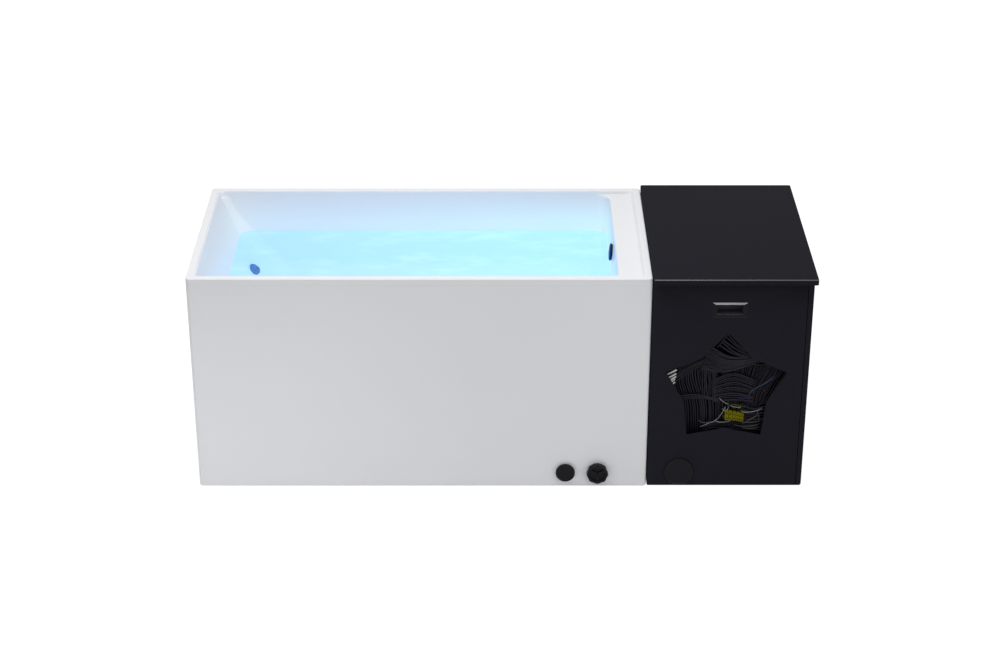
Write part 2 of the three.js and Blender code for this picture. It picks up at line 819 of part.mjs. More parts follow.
// Cabinet: base, sides, louvred back and front rail
function cabinetBase() {
  const under = baseTop - basePlate;
  const backY = sideBackY - sheet - seam;
  const lipY = cabinetFront + seam / 2;
  const section = outline([
    [lipY, sillHeight],
    [baseFrontY, sillHeight],
    [baseFrontY, 0],
    [baseFrontY + basePlate, 0],
    [baseFrontY + basePlate, under],
    [backY - basePlate, under],
    [backY - basePlate, 0],
    [backY, 0],
    [backY, baseTop],
    [baseFrontY, baseTop],
    [baseFrontY, sillTop],
    [lipY, sillTop],
  ]);
  return alongX(section, insideLeft + touch, insideRight - touch);
}
piece('cabinet_base', cabinetBase(), powderCoat);

const sideBottom = sillTop + seam;
const sideTop = lidBottom - touch;

function louvre(row) {
  const z = louvreFirstZ + row * louvrePitch;
  return [z - louvreHeight / 2, z + louvreHeight / 2];
}
const louvres = Array.from({ length: louvreCount }, (_, row) => louvre(row));

function leftSide() {
  const inner = insideLeft + sideFlange;
  const section = outline([
    [cabinetLeft, sideFrontY],
    [inner, sideFrontY],
    [inner, sideFrontY + sheet],
    [insideLeft, sideFrontY + sheet],
    [insideLeft, sideBackY - sheet],
    [inner, sideBackY - sheet],
    [inner, sideBackY],
    [cabinetLeft, sideBackY],
  ]);
  const passRadius = hoseRadius + hosePassGap;
  const pass = (y, z) => hole(at(tubLength, y, z), at(insideLeft + sheet, y, z), passRadius, smallSides);
  return cut(raised(section, sideBottom, sideTop), pass(filterY, hoseAxisZ), pass(exchangerY, returnAxisZ));
}
piece('cabinet_left_side', leftSide(), powderCoat);

function rightSide() {
  const strip = cabinetRight - cornerStrip;
  const inner = insideRight - sideFlange;
  const section = outline([
    [strip, cabinetFront],
    [cabinetRight, cabinetFront],
    [cabinetRight, sideBackY],
    [inner, sideBackY],
    [inner, sideBackY - sheet],
    [insideRight, sideBackY - sheet],
    [insideRight, cabinetFront + sheet],
    [strip + sheet, cabinetFront + sheet],
    [strip + sheet, panelBackY],
    [strip, panelBackY],
  ]);
  const slotMid = compressorY;
  const slots = louvres.map(([z0, z1]) => slab(
    insideRight - sheet,
    cabinetRight + sheet,
    slotMid - louvreSideWidth / 2,
    slotMid + louvreSideWidth / 2,
    z0,
    z1,
  ));
  return cut(raised(section, sideBottom, sideTop), ...slots);
}
piece('cabinet_right_side', rightSide(), powderCoat);

const condenserLeft = cabinetLeft + condenserX;
const condenserMidX = condenserLeft + condenserWidth / 2;
const hingeAxisY = cabinetBack + touch + hingeKnuckle;
const hingeAxisZ = lidBottom - hingeKnuckle - 2 * touch;
const backTop = hingeAxisZ - hingeKnuckle;
const glandPlace = at(cabinetRight - glandInset, cabinetBack, glandZ);

function cabinetBackPanel() {
  const panel = slab(cabinetLeft, cabinetRight, cabinetBack - sheet, cabinetBack, sideBottom, backTop);
  const slots = louvres.map(([z0, z1]) => slab(
    condenserMidX - louvreBackWidth / 2,
    condenserMidX + louvreBackWidth / 2,
    cabinetBack - 2 * sheet,
    cabinetBack + sheet,
    z0,
    z1,
  ));
  const gland = hole(
    at(glandPlace.x, cabinetBack - 2 * sheet, glandPlace.z),
    at(glandPlace.x, cabinetBack + sheet, glandPlace.z),
    glandNeck,
    smallSides,
  );
  return cut(panel, ...slots, gland);
}
piece('cabinet_back', cabinetBackPanel(), powderCoat);
piece('power_gland', turned([
  [0, -glandRadius],
  [glandNeck, -glandRadius],
  [glandNeck, touch],
  [glandRadius, touch],
  [glandRadius, glandHead / 2],
  [glandNeck, glandHead],
  [0, glandHead],
], smallSides), blackPlastic, seat(glandPlace, at(0, 1, 0)));

const railFrontY = panelBackY + magnetDepth;

function frontRail() {
  const section = outline([
    [railFrontY, sideTop - railWeb],
    [railFrontY + railFlange, sideTop - railWeb],
    [railFrontY + railFlange, sideTop - railWeb + sheet],
    [railFrontY + sheet, sideTop - railWeb + sheet],
    [railFrontY + sheet, sideTop - sheet],
    [railFrontY + railFlange, sideTop - sheet],
    [railFrontY + railFlange, sideTop],
    [railFrontY, sideTop],
  ]);
  return alongX(section, insideLeft + touch, insideRight - touch);
}
piece('front_rail', frontRail(), powderCoat);

for (const [side, offset] of [['left', -magnetSpread], ['right', magnetSpread]]) {
  const x = panelCentreX + offset;
  const z = panelTop - panelLip / 2;
  piece(`panel_magnet_${side}`, slab(
    x - magnetWidth / 2,
    x + magnetWidth / 2,
    panelBackY + touch,
    railFrontY - touch,
    z - magnetHeight / 2,
    z + magnetHeight / 2,
  ), blackPlastic);
}

// Lid with softened edges
function lid() {
  const ring = (inset, z) => roundedRing(
    cabinetLeft + inset,
    lidRight - inset,
    outerFront + inset,
    outerBack - inset,
    lidCorner,
    lidCorner,
    (x, y) => at(x, y, z),
    smallCornerSteps,
  );
  const shoulder = lidEdgeRound * (1 - Math.SQRT1_2);
  return loft([
    ring(lidEdgeRound / 2, lidBottom),
    ring(0, lidBottom + lidEdgeRound / 2),
    ring(0, lidTop - lidEdgeRound),
    ring(shoulder, lidTop - shoulder),
    ring(lidEdgeRound, lidTop),
  ]);
}
piece('lid', lid(), powderCoat);

// Lid hinge: knuckles take turns along the pin, a leaf on the back panel and a leaf under the lid
const hingeLeft = cabinetLeft + hingeEndInset;
const knuckleLength = (cabinetWidth - 2 * hingeEndInset) / hingeKnuckles;
const hingeRight = hingeLeft + hingeKnuckles * knuckleLength;
const onHinge = (x) => at(x, hingeAxisY, hingeAxisZ);

function hingeHalf(first, makeLeaf, makeTongue) {
  let half = makeLeaf();
  for (let k = first; k < hingeKnuckles; k += 2) {
    const x0 = hingeLeft + k * knuckleLength + touch;
    const x1 = hingeLeft + (k + 1) * knuckleLength - touch;
    const knuckle = rod(onHinge(x0), onHinge(x1), hingeKnuckle, smallSides);
    half = join(half, knuckle, makeTongue(x0, x1));
  }
  const before = onHinge(hingeLeft - knuckleLength);
  const past = onHinge(hingeRight + knuckleLength);
  const bore = hole(before, past, hingePin, smallSides);
  return cut(half, bore);
}
const leafBackY = cabinetBack + touch;
const leafTop = hingeAxisZ - hingeKnuckle - touch;
piece('lid_hinge_fixed', hingeHalf(
  0,
  () => slab(hingeLeft, hingeRight, leafBackY, leafBackY + hingeLeaf, leafTop - hingeLeafReach, leafTop),
  (x0, x1) => slab(x0, x1, leafBackY, leafBackY + hingeLeaf, leafTop - hingeLeaf, hingeAxisZ),
), steel);
const leafUnder = lidBottom - touch - hingeLeaf;
const leafEndY = hingeAxisY - hingeKnuckle - touch;
piece('lid_hinge_moving', hingeHalf(
  1,
  () => slab(hingeLeft, hingeRight, leafEndY - hingeLeafReach, leafEndY, leafUnder, leafUnder + hingeLeaf),
  (x0, x1) => slab(x0, x1, leafEndY - hingeLeaf, hingeAxisY, leafUnder, leafUnder + hingeLeaf),
), steel);
piece('lid_hinge_pin', rod(onHinge(hingeLeft), onHinge(hingeRight), hingePin, smallSides), steel);

// Front panel: a folded tray with a star cut through its face
function starShape() {
  const points = Array.from({ length: 10 }, (_, i) => {
    const radius = i % 2 === 0 ? starOuter : starInner;
    const angle = Math.PI / 2 + i * Math.PI / 5;
    return [panelCentreX + radius * Math.cos(angle), starCentreZ + radius * Math.sin(angle)];
  });
  return outline(points);
}
const pullSocketWidth = pullWidth - pullBevel;
const pullSocketHeight = pullHeight - pullBevel;
const portCoverPlace = at(cabinetLeft + portCoverX, cabinetFront, portCoverZ);

function frontPanel() {
  const tray = slab(panelLeft, panelRight, cabinetFront, panelBackY, panelBottom, panelTop);
  const pocket = slab(
    panelLeft + sheet,
    panelRight - sheet,
    cabinetFront + sheet,
    panelBackY + sheet,
    panelBottom + sheet,
    panelTop - sheet,
  );
  const lip = slab(panelLeft, panelRight, panelBackY - sheet, panelBackY, panelTop - panelLip, panelTop);
  const before = cabinetFront - sheet;
  const behind = cabinetFront + 2 * sheet;
  const pullSocket = slab(
    panelCentreX - pullSocketWidth / 2 - touch,
    panelCentreX + pullSocketWidth / 2 + touch,
    before,
    behind,
    pullCentreZ - pullSocketHeight / 2 - touch,
    pullCentreZ + pullSocketHeight / 2 + touch,
  );
  const portHole = hole(
    at(portCoverPlace.x, before, portCoverZ),
    at(portCoverPlace.x, behind, portCoverZ),
    portCoverBarrel,
  );
  const star = frontPlate(starShape(), before, behind);
  return cut(join(cut(tray, pocket), lip), star, pullSocket, portHole);
}
piece('front_panel', frontPanel(), powderCoat);

// Flush pull: a bevelled frame proud of the panel, with a cup behind its mouth
function pullCup() {
  const ring = (width, height, corner, y) => roundedRing(
    panelCentreX - width / 2,
    panelCentreX + width / 2,
    pullCentreZ - height / 2,
    pullCentreZ + height / 2,
    corner,
    corner,
    (x, z) => at(x, y, z),
    smallCornerSteps,
  );
  const wall = 2;
  const face = cabinetFront - pullProud;
  const seatY = cabinetFront - touch;
  const cupBack = cabinetFront + pullCupDepth;
  const draft = 4;
  return loft([
    ring(pullMouthWidth - draft, pullMouthHeight - draft, 4, cupBack - wall),
    ring(pullMouthWidth, pullMouthHeight, 3, face),
    ring(pullWidth - 2 * pullBevel, pullHeight - 2 * pullBevel, 3, face),
    ring(pullWidth, pullHeight, 3, cabinetFront - pullProud / 4),
    ring(pullWidth, pullHeight, 3, seatY),
    ring(pullSocketWidth, pullSocketHeight, 1, seatY),
    ring(pullSocketWidth, pullSocketHeight, 1, cabinetFront + sheet),
    ring(pullMouthWidth + wall, pullMouthHeight + wall, 4, cabinetFront + 2 * sheet),
    ring(pullMouthWidth + wall - draft, pullMouthHeight + wall - draft, 4, cupBack),
  ]);
}
piece('pull_cup', pullCup(), blackPlastic);

// Round cover over the service port low on the panel
const coverRing = 7;
const coverSides = 20;
piece('port_cover', turned([
  [0, -3 * sheet],
  [portCoverBarrel, -3 * sheet],
  [portCoverBarrel, touch],
  [portCoverRadius, touch],
  [portCoverRadius, portCoverProud - flange],
  [portCoverRadius - flange, portCoverProud],
  [portCoverRadius - coverRing, portCoverProud],
  [portCoverRadius - coverRing - flange, portCoverProud - flange],
  [portCoverRadius - 3 * coverRing, portCoverProud - flange],
  [0, portCoverProud - flange / 2],
], coverSides), blackPlastic, seat(portCoverPlace, forward));

// Wiring: a plate behind the star, with cable bundles lying on it in layers
function loomPlate() {
  const section = outline([
    [loomPlateY, baseTop + touch],
    [loomPlateY + sideFlange, baseTop + touch],
    [loomPlateY + sideFlange, baseTop + touch + sheet],
    [loomPlateY + sheet, baseTop + touch + sheet],
    [loomPlateY + sheet, loomPlateTop],
    [loomPlateY, loomPlateTop],
  ]);
  return alongX(section, insideLeft + sideFlange + touch, insideRight - sideFlange - touch);
}
piece('loom_plate', loomPlate(), powderCoat);

// Cables side by side between two guide lines, given from the star's centre; their fronts are round
function bundle(guideLow, guideHigh, cables, layer) {
  const stations = 5;
  const back = loomPlateY - touch - layer * (loomLayer + touch);
  const front = back - loomLayer + cableSag;
  const toCurve = (guide) => new THREE.SplineCurve(guide.map(([u, w]) => new THREE.Vector2(u, w)));
  const low = toCurve(guideLow);
  const high = toCurve(guideHigh);
  const steps = 3;
  return loft(Array.from({ length: stations + 1 }, (_, s) => {
    const a = low.getPoint(s / stations);
    const b = high.getPoint(s / stations);
    const across = (share, y) => at(
      panelCentreX + a.x + (b.x - a.x) * share,
      y,
      starCentreZ + a.y + (b.y - a.y) * share,
    );
    const ring = [across(1, back), across(0, back)];
    for (let i = 0; i <= cables * steps; i += 1) {
      const bulge = cableSag * Math.abs(Math.sin(Math.PI * i / steps));
      ring.push(across(i / (cables * steps), front - bulge));
    }
    return ring;
  }));
}
const bundles = {
  loom_lower_left: [[[-165, -195], [-150, -60], [-150, 40]], [[-12, -195], [-22, -40], [-48, 95]], 12, 0],
  loom_right_fan: [[[-6, -195], [0, -40], [-30, 95]], [[160, -195], [185, -40], [208, 70]], 14, 0],
  loom_left_branch: [[[-205, -22], [-130, 10], [-45, 60]], [[-212, 62], [-130, 100], [-70, 135]], 7, 1],
  loom_lower_right: [[[-30, -196], [60, -182], [165, -196]], [[-24, -104], [60, -92], [150, -112]], 8, 1],
  loom_top_sweep: [[[-84, 134], [-10, 88], [150, 42]], [[-8, 212], [50, 140], [168, 98]], 8, 2],
};
for (const [name, [guideLow, guideHigh, cables, layer]] of Object.entries(bundles)) {
  piece(name, bundle(guideLow, guideHigh, cables, layer), cableBlack);
}

// Small blocks that lie on a bundle: a terminal strip and a plug connector
function wiringBlock(u0, u1, w0, w1, layer, ways) {
  const back = loomPlateY - touch - layer * (loomLayer + touch);
  const x0 = panelCentreX + u0;
  const x1 = panelCentreX + u1;
  const z0 = starCentreZ + w0;
  const z1 = starCentreZ + w1;
  const block = slab(x0, x1, back - loomLayer, back, z0, z1);
  const way = (x1 - x0) / ways;
  const wells = Array.from({ length: ways }, (_, i) => slab(
    x0 + (i + 0.25) * way,
    x0 + (i + 0.75) * way,
    back - 2 * loomLayer,
    back - loomLayer / 2,
    (z0 + z1) / 2 - way / 4,
    (z0 + z1) / 2 + way / 4,
  ));
  return cut(block, ...wells);
}
piece('terminal_block', wiringBlock(-8, 66, -120, -82, 2, 4), terminalYellow);
piece('wire_connector', wiringBlock(-206, -168, 0, 66, 2, 2), connectorWhite);

// Control box on the back of the wiring plate
function controlBox() {
  const x1 = insideRight - sideFlange - 2 * touch;
  const y0 = loomPlateY + sheet + touch;
  const top = loomPlateTop - sheet;
  const ring = (inset, y) => roundedRing(
    x1 - controlBoxWidth + inset,
    x1 - inset,
    top - controlBoxHeight + inset,
    top - inset,
    2 * flange,
    2 * flange,
    (x, z) => at(x, y, z),
    smallCornerSteps,
  );
  const coverY = y0 + controlBoxDepth * 0.7;
  const coverGroove = 2;
  return loft([
    ring(0, y0),
    ring(0, coverY),
    ring(flange, coverY),
    ring(flange, coverY + coverGroove),
    ring(0, coverY + coverGroove),
    ring(0, y0 + controlBoxDepth - flange),
    ring(flange, y0 + controlBoxDepth),
  ]);
}
piece('control_box', controlBox(), blackPlastic);

// Filter: an open canister with side stubs and a ribbed bayonet cap
const standZ = baseTop + touch;
const filterPlace = at(cabinetLeft + filterX, filterY, standZ);
const filterStub = filterRadius + stubReach;

function filterHousing() {
  const top = filterHeight;
  const inner = filterRadius - filterWall;
  const can = turned([
    [0, 0],
    [filterRadius, 0],
    [filterRadius, top - filterCollar],
    [filterRadius + filterWall, top - filterCollar],
    [filterRadius + filterWall, top],
    [inner, top],
    [inner, filterWall],
    [0, filterWall],
  ]);
  const z = hoseAxisZ - standZ;
  const stubs = rod(at(-filterStub, 0, z), at(filterStub, 0, z), hoseRadius, smallSides);
  const bore = rod(at(-2 * filterStub, 0, z), at(2 * filterStub, 0, z), hoseRadius - fittingWall, smallSides);
  const inside = rod(at(0, 0, filterWall), at(0, 0, 2 * top), inner);
  return cut(join(can, stubs), bore, inside);
}
const filterGroup = new THREE.Group();
filterGroup.position.copy(filterPlace);
tub.add(filterGroup);
piece('filter_housing', filterHousing(), blackPlastic, filterGroup);

function filterCap() {
  const low = filterHeight + touch;
  const high = low + filterCapHeight;
  const steps = 4 * filterCapRibs;
  const grip = Array.from({ length: steps }, (_, i) => {
    const angle = 2 * Math.PI * i / steps;
    const radius = filterRadius + filterWall + (i % 4 < 2 ? 0 : filterCapRib);
    return [radius * Math.cos(angle), radius * Math.sin(angle)];
  });
  const inner = (filterRadius - filterWall) * Math.cos(Math.PI / roundSides) - 2 * touch;
  const middle = low + filterCapHeight / 2;
  const plug = rod(at(0, 0, low - filterCollar), at(0, 0, middle), inner);
  const crown = turned([
    [0, middle],
    [filterRadius - filterWall, middle],
    [filterRadius - filterWall, high],
    [filterRadius - filterCrown, high + filterWall],
    [0, high + filterWall],
  ]);
  return join(raised(outline(grip), low, high), plug, crown);
}
piece('filter_cap', filterCap(), navyPlastic, filterGroup);

// Pump on the filter's outlet: volute, motor with a foot, outlet stub on top
const pumpLeft = cabinetLeft + pumpX;
const pumpAxis = (x) => at(x, filterY, hoseAxisZ);
const pumpStubEnd = filterPlace.x + filterStub + touch;
const pumpOutletX = pumpLeft + pumpVoluteLength / 2;
const pumpOutletZ = hoseAxisZ + pumpRadius + pumpOutletReach + touch;

function pump() {
  const voluteEnd = pumpLeft + pumpVoluteLength;
  const motorEnd = voluteEnd + pumpMotorLength;
  const coverStart = motorEnd - pumpCoverLength;
  const inlet = rod(pumpAxis(pumpStubEnd), pumpAxis(voluteEnd), hoseRadius, smallSides);
  const volute = rod(pumpAxis(pumpLeft), pumpAxis(voluteEnd), pumpRadius);
  const motor = rod(pumpAxis(pumpOutletX), pumpAxis(motorEnd), pumpMotorRadius);
  const fanCover = rod(pumpAxis(coverStart), pumpAxis(motorEnd), pumpMotorRadius + filterWall);
  const outletTop = at(pumpOutletX, filterY, pumpOutletZ - touch);
  const outlet = rod(pumpAxis(pumpOutletX), outletTop, hoseRadius, smallSides);
  const halfFoot = pumpMotorRadius * 0.6;
  const footY0 = filterY - halfFoot;
  const footY1 = filterY + halfFoot;
  const pedestal = slab(pumpOutletX, coverStart - filterWall, footY0, footY1, standZ, hoseAxisZ);
  return join(inlet, volute, motor, fanCover, outlet, pedestal);
}
piece('pump', pump(), blackPlastic);

// Heat exchanger: an upright shell with end caps, two water stubs and refrigerant ports
const exchangerPlace = at(cabinetLeft + filterX, exchangerY, standZ);

function heatExchanger() {
  const capHeight = exchangerCap;
  const grown = exchangerRadius + filterWall;
  const shell = turned([
    [0, 0],
    [grown, 0],
    [grown, capHeight],
    [exchangerRadius, capHeight],
    [exchangerRadius, exchangerHeight - capHeight],
    [grown, exchangerHeight - capHeight],
    [grown, exchangerHeight - filterWall],
    [exchangerRadius, exchangerHeight],
    [0, exchangerHeight],
  ]);
  const reach = exchangerRadius + stubReach;
  const stub = (z, end) => rod(at(0, 0, z - standZ), at(end, 0, z - standZ), hoseRadius, smallSides);
  return join(shell, stub(feedZ, reach), stub(returnAxisZ, -reach));
}
const exchangerGroup = new THREE.Group();
exchangerGroup.position.copy(exchangerPlace);
tub.add(exchangerGroup);
piece('heat_exchanger', heatExchanger(), hosePlastic, exchangerGroup);

// Water hoses
piece('suction_hose', hose([
  at(floorDrainX + drainBranch + touch, midY, hoseAxisZ),
  at(floorDrainX + drainBranch + 4 * hoseRadius, midY, hoseAxisZ),
  at(tubLength - 4 * hoseRadius, filterY, hoseAxisZ),
  at(filterPlace.x - filterStub - touch, filterY, hoseAxisZ),
], hoseRadius, hoseSides, 14), hosePlastic);

const feedX = exchangerPlace.x + exchangerRadius + stubReach + touch;
piece('feed_hose', hose([
  at(pumpOutletX, filterY, pumpOutletZ),
  at(pumpOutletX, filterY, pumpOutletZ + 2.5 * hoseRadius),
  at(pumpOutletX + hoseRadius, filterY + 4 * hoseRadius, feedZ + hoseRadius / 2),
  at(feedX + 4 * hoseRadius, exchangerY, feedZ),
  at(feedX, exchangerY, feedZ),
], hoseRadius, hoseSides, 16), hosePlastic);

const jetTailPoint = alongAxis(jetSeat, jetNormal, -jetTail - touch);
const backRunY = tubDepth - skirtWall - 2 * hoseRadius;
const backRunZ = (hoseAxisZ + returnAxisZ) / 2;
const aroundEnd = tubLength - skirtWall - 4 * hoseRadius;
piece('return_hose', hose([
  at(exchangerPlace.x - exchangerRadius - stubReach - touch, exchangerY, returnAxisZ),
  at(tubLength, exchangerY, returnAxisZ),
  at(tubLength - 3 * hoseRadius, exchangerY, returnAxisZ),
  at(aroundEnd, (exchangerY + backRunY) / 2, returnAxisZ - 2 * hoseRadius),
  at(aroundEnd - 3 * hoseRadius, backRunY - hoseRadius, backRunZ + 4 * hoseRadius),
  at(aroundEnd - 9 * hoseRadius, backRunY, backRunZ + hoseRadius),
  at(tubLength * 0.6, backRunY, backRunZ),
  at(tubLength * 0.28, backRunY, backRunZ),
  at(tubLength * 0.13, backRunY - hoseRadius / 2, backRunZ + hoseRadius),
  at(5 * hoseRadius, backRunY - 3 * hoseRadius, backRunZ + 3 * hoseRadius),
  at(2 * hoseRadius, (jetTailPoint.y + backRunY) / 2, (backRunZ + jetTailPoint.z) / 2 + 2 * hoseRadius),
  alongAxis(jetTailPoint, jetNormal, -4 * hoseRadius),
  jetTailPoint,
], hoseRadius, hoseSides, 32), hosePlastic);

// Compressor: a welded shell with a seam and a foot plate
const compressorPlace = at(cabinetLeft + compressorX, compressorY, standZ);

function compressor() {
  const half = compressorRadius;
  const plate = slab(-half, half, -half, half, 0, compressorFoot);
  const bowl = compressorBowl;
  const seamLow = compressorHeight * 0.53;
  const seamHigh = seamLow + 2 * compressorFoot;
  const seamRadius = compressorRadius + compressorFoot;
  const shell = turned([
    [0, compressorFoot / 2],
    [compressorRadius * 0.75, compressorFoot / 2],
    [compressorRadius * 0.95, bowl / 2],
    [compressorRadius, bowl],
    [compressorRadius, seamLow],
    [seamRadius, seamLow],
    [seamRadius, seamHigh],
    [compressorRadius, seamHigh],
    [compressorRadius, compressorHeight - bowl],
    [compressorRadius * 0.85, compressorHeight - bowl / 3],
    [compressorRadius * 0.5, compressorHeight],
    [0, compressorHeight],
  ]);
  return join(plate, shell);
}
const compressorGroup = new THREE.Group();
compressorGroup.position.copy(compressorPlace);
tub.add(compressorGroup);
piece('compressor', compressor(), blackPlastic, compressorGroup);

// Condenser: upright fins on both sides of a core, with a fan in front
const condenserBack = sideBackY - sheet - condenserBackGap;
const condenserFront = condenserBack - condenserDepth;

function condenser() {
  const pitch = (condenserWidth - condenserFin) / (condenserFins - 1);
  const coreFront = (condenserFront + condenserBack - condenserCore) / 2;
  const coreBack = coreFront + condenserCore;
  const core = slab(
    condenserLeft,
    condenserLeft + condenserWidth,
    coreFront,
    coreBack,
    standZ,
    standZ + condenserHeight,
  );
  const fins = Array.from({ length: condenserFins }, (_, i) => {
    const left = condenserLeft + i * pitch;
    return slab(left, left + condenserFin, condenserFront, condenserBack, standZ, standZ + condenserHeight);
  });
  return join(core, ...fins);
}
piece('condenser', condenser(), aluminium);

const fanBack = condenserFront - touch;
const fanFront = fanBack - fanFrameDepth;
const fanCentre = at(condenserMidX, fanFront, standZ + fanFrameSize / 2);
const fanMotorFront = fanFrameDepth - 2.5 * fanStrut;

function fanFrame() {
  const half = fanFrameSize / 2;
  const opening = fanRadius + fanTipGap;
  const plate = slab(-half, half, -half, half, 0, fanFrameDepth);
  const mouth = rod(at(0, 0, -fanFrameDepth), at(0, 0, 2 * fanFrameDepth), opening);
  const strutEnd = opening + fanStrut;
  const strutFront = fanFrameDepth - 2 * fanStrut;
  const across = slab(-strutEnd, strutEnd, -fanStrut, fanStrut, strutFront, fanFrameDepth);
  const upright = slab(-fanStrut, fanStrut, -strutEnd, strutEnd, strutFront, fanFrameDepth);
  const motor = rod(at(0, 0, fanMotorFront), at(0, 0, fanFrameDepth), fanHub);
  return join(cut(plate, mouth), across, upright, motor);
}
const fanGroup = seat(fanCentre, at(0, 1, 0));
piece('fan_frame', fanFrame(), blackPlastic, fanGroup);

function fanRotor() {
  const back = fanMotorFront - touch;
  const front = flange;
  const bladeDepth = back - front - 2 * bladeHalf;
  const middle = (front + back) / 2;
  let rotor = turned([
    [0, front],
    [fanHub - flange, front],
    [fanHub, front + flange],
    [fanHub, back],
    [0, back],
  ]);
  const stations = [[fanHub - flange, 0.55], [(fanHub + fanRadius) / 2, 0.72], [fanRadius, 0.9]];
  for (let blade = 0; blade < fanBlades; blade += 1) {
    const rings = stations.map(([radius, share]) => {
      const chord = fanRadius * share / 2;
      const rise = bladeDepth / 2;
      return [
        at(radius, -chord / 2, middle - rise - bladeHalf),
        at(radius, chord / 2, middle + rise - bladeHalf),
        at(radius, chord / 2, middle + rise + bladeHalf),
        at(radius, -chord / 2, middle - rise + bladeHalf),
      ];
    });
    rotor = join(rotor, loft(rings).rotateZ(blade * 2 * Math.PI / fanBlades));
  }
  return rotor;
}
piece('fan_rotor', fanRotor(), blackPlastic, fanGroup);

// Refrigerant lines between compressor, condenser and heat exchanger
const compressorTop = standZ + compressorHeight + touch;
const condenserTop = standZ + condenserHeight + touch;
const exchangerTop = standZ + exchangerHeight + touch;
const condenserMidY = (condenserFront + condenserBack) / 2;
const lineSpread = 18;
piece('discharge_line', hose([
  at(compressorPlace.x + lineSpread, compressorY, compressorTop),
  at(compressorPlace.x + lineSpread, compressorY, compressorTop + 40),
  at(compressorPlace.x + lineSpread + 30, compressorY + 140, condenserTop + 70),
  at(condenserLeft + 40, condenserMidY - 60, condenserTop + 70),
  at(condenserLeft + 40, condenserMidY, condenserTop + 30),
  at(condenserLeft + 40, condenserMidY, condenserTop),
], copperRadius, 6, 18), copper);
piece('vapour_line', hose([
  at(compressorPlace.x - lineSpread, compressorY, compressorTop),
  at(compressorPlace.x - lineSpread, compressorY, compressorTop + 60),
  at(compressorPlace.x - 60, compressorY + 90, exchangerTop + 60),
  at(exchangerPlace.x + 20, exchangerY - 70, exchangerTop + 70),
  at(exchangerPlace.x, exchangerY, exchangerTop + 40),
  at(exchangerPlace.x, exchangerY, exchangerTop),
], copperRadius, 6, 18), copper);
const liquidZ = standZ + liquidRise;
piece('liquid_line', hose([
  at(condenserLeft - touch, condenserMidY, liquidZ),
  at(condenserLeft - 40, condenserMidY, liquidZ),
  at(exchangerPlace.x, exchangerY + exchangerRadius + 45, liquidZ),
  at(exchangerPlace.x, exchangerY + exchangerRadius + touch, liquidZ),
], copperRadius, 6, 8), copper);

export default tub;
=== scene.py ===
# %% [markdown]
# A cold plunge tub is a bath that a chiller keeps cold. This lesson dresses its solid model:
# a white acrylic basin full of clear water, and a black cabinet whose front panel has a star
# cut in it, so that the wiring shows. The solid model is loaded first and never changed.

# %% Load the solid model
import math
import random

import bmesh
import bpy
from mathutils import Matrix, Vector


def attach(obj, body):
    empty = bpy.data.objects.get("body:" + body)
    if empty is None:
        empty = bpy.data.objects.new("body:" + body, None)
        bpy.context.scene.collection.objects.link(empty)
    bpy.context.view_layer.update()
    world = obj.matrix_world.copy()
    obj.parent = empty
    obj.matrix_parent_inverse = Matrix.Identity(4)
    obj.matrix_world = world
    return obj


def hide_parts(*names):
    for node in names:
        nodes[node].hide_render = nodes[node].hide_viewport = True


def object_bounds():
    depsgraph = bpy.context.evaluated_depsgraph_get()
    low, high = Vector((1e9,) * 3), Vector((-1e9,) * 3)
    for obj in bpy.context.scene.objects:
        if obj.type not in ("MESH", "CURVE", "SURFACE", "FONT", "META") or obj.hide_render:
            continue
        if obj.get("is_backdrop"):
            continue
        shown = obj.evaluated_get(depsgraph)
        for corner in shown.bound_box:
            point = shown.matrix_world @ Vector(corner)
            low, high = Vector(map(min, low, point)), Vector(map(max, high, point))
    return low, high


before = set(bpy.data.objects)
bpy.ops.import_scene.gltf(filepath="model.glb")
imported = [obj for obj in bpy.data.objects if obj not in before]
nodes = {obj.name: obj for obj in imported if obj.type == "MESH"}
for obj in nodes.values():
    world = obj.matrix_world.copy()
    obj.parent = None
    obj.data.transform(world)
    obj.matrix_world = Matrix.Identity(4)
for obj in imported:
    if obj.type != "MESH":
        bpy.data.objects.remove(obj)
solid_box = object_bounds()
print("pieces in the solid model:", len(nodes))

# %% [markdown]
# The solid model was drawn in millimetres from the tub's left front corner. It is easier to
# think in those numbers, so one small function turns them into this scene's metres.

# %% Millimetres of the tub, metres of the scene
TUB_LENGTH = 1500
TUB_DEPTH = 750
RIM_Z = 770
CORNER_OF_TUB = Vector((-1.014, -0.359, 0.0))
MM = 0.001


def spot(x, y, z):
    return CORNER_OF_TUB + Vector((x, y, z)) * MM


print("tub's far corner:", tuple(round(value, 3) for value in spot(TUB_LENGTH, TUB_DEPTH, RIM_Z)))

# %% [markdown]
# The camera stands in front of the tub, a little above it, and looks down by 27 degrees. A long
# lens keeps the upright edges almost parallel, as in a product picture. Anything new has to be
# linked to the scene before it shows, so add_object() does both at once, from here on.

# %% Camera
SENSOR_WIDTH = 36.0
LENS = 77.74
CAMERA_PLACE = (-0.0045, -6.6133, 3.7235)
CAMERA_PITCH = 26.719


def add_object(name, data):
    thing = bpy.data.objects.new(name, data)
    bpy.context.scene.collection.objects.link(thing)
    return thing


camera_data = bpy.data.cameras.new("camera")
camera_data.sensor_width = SENSOR_WIDTH
camera_data.sensor_fit = "HORIZONTAL"
camera_data.lens = LENS
camera = add_object("camera", camera_data)
camera.location = CAMERA_PLACE
camera.rotation_euler = (math.radians(90 - CAMERA_PITCH), 0, 0)
bpy.context.scene.camera = camera
print("camera looks down by", CAMERA_PITCH, "degrees")

# %% [markdown]
# A shader is a net of nodes, and its sums are easier to read as Python than as boxes and lines.
# Wire holds one socket and turns + - * / into Math nodes, also where a number comes first, so
# that 1 - mask works. Each operator is one short method, so a sum reads as it is written.

# %% Sums of sockets


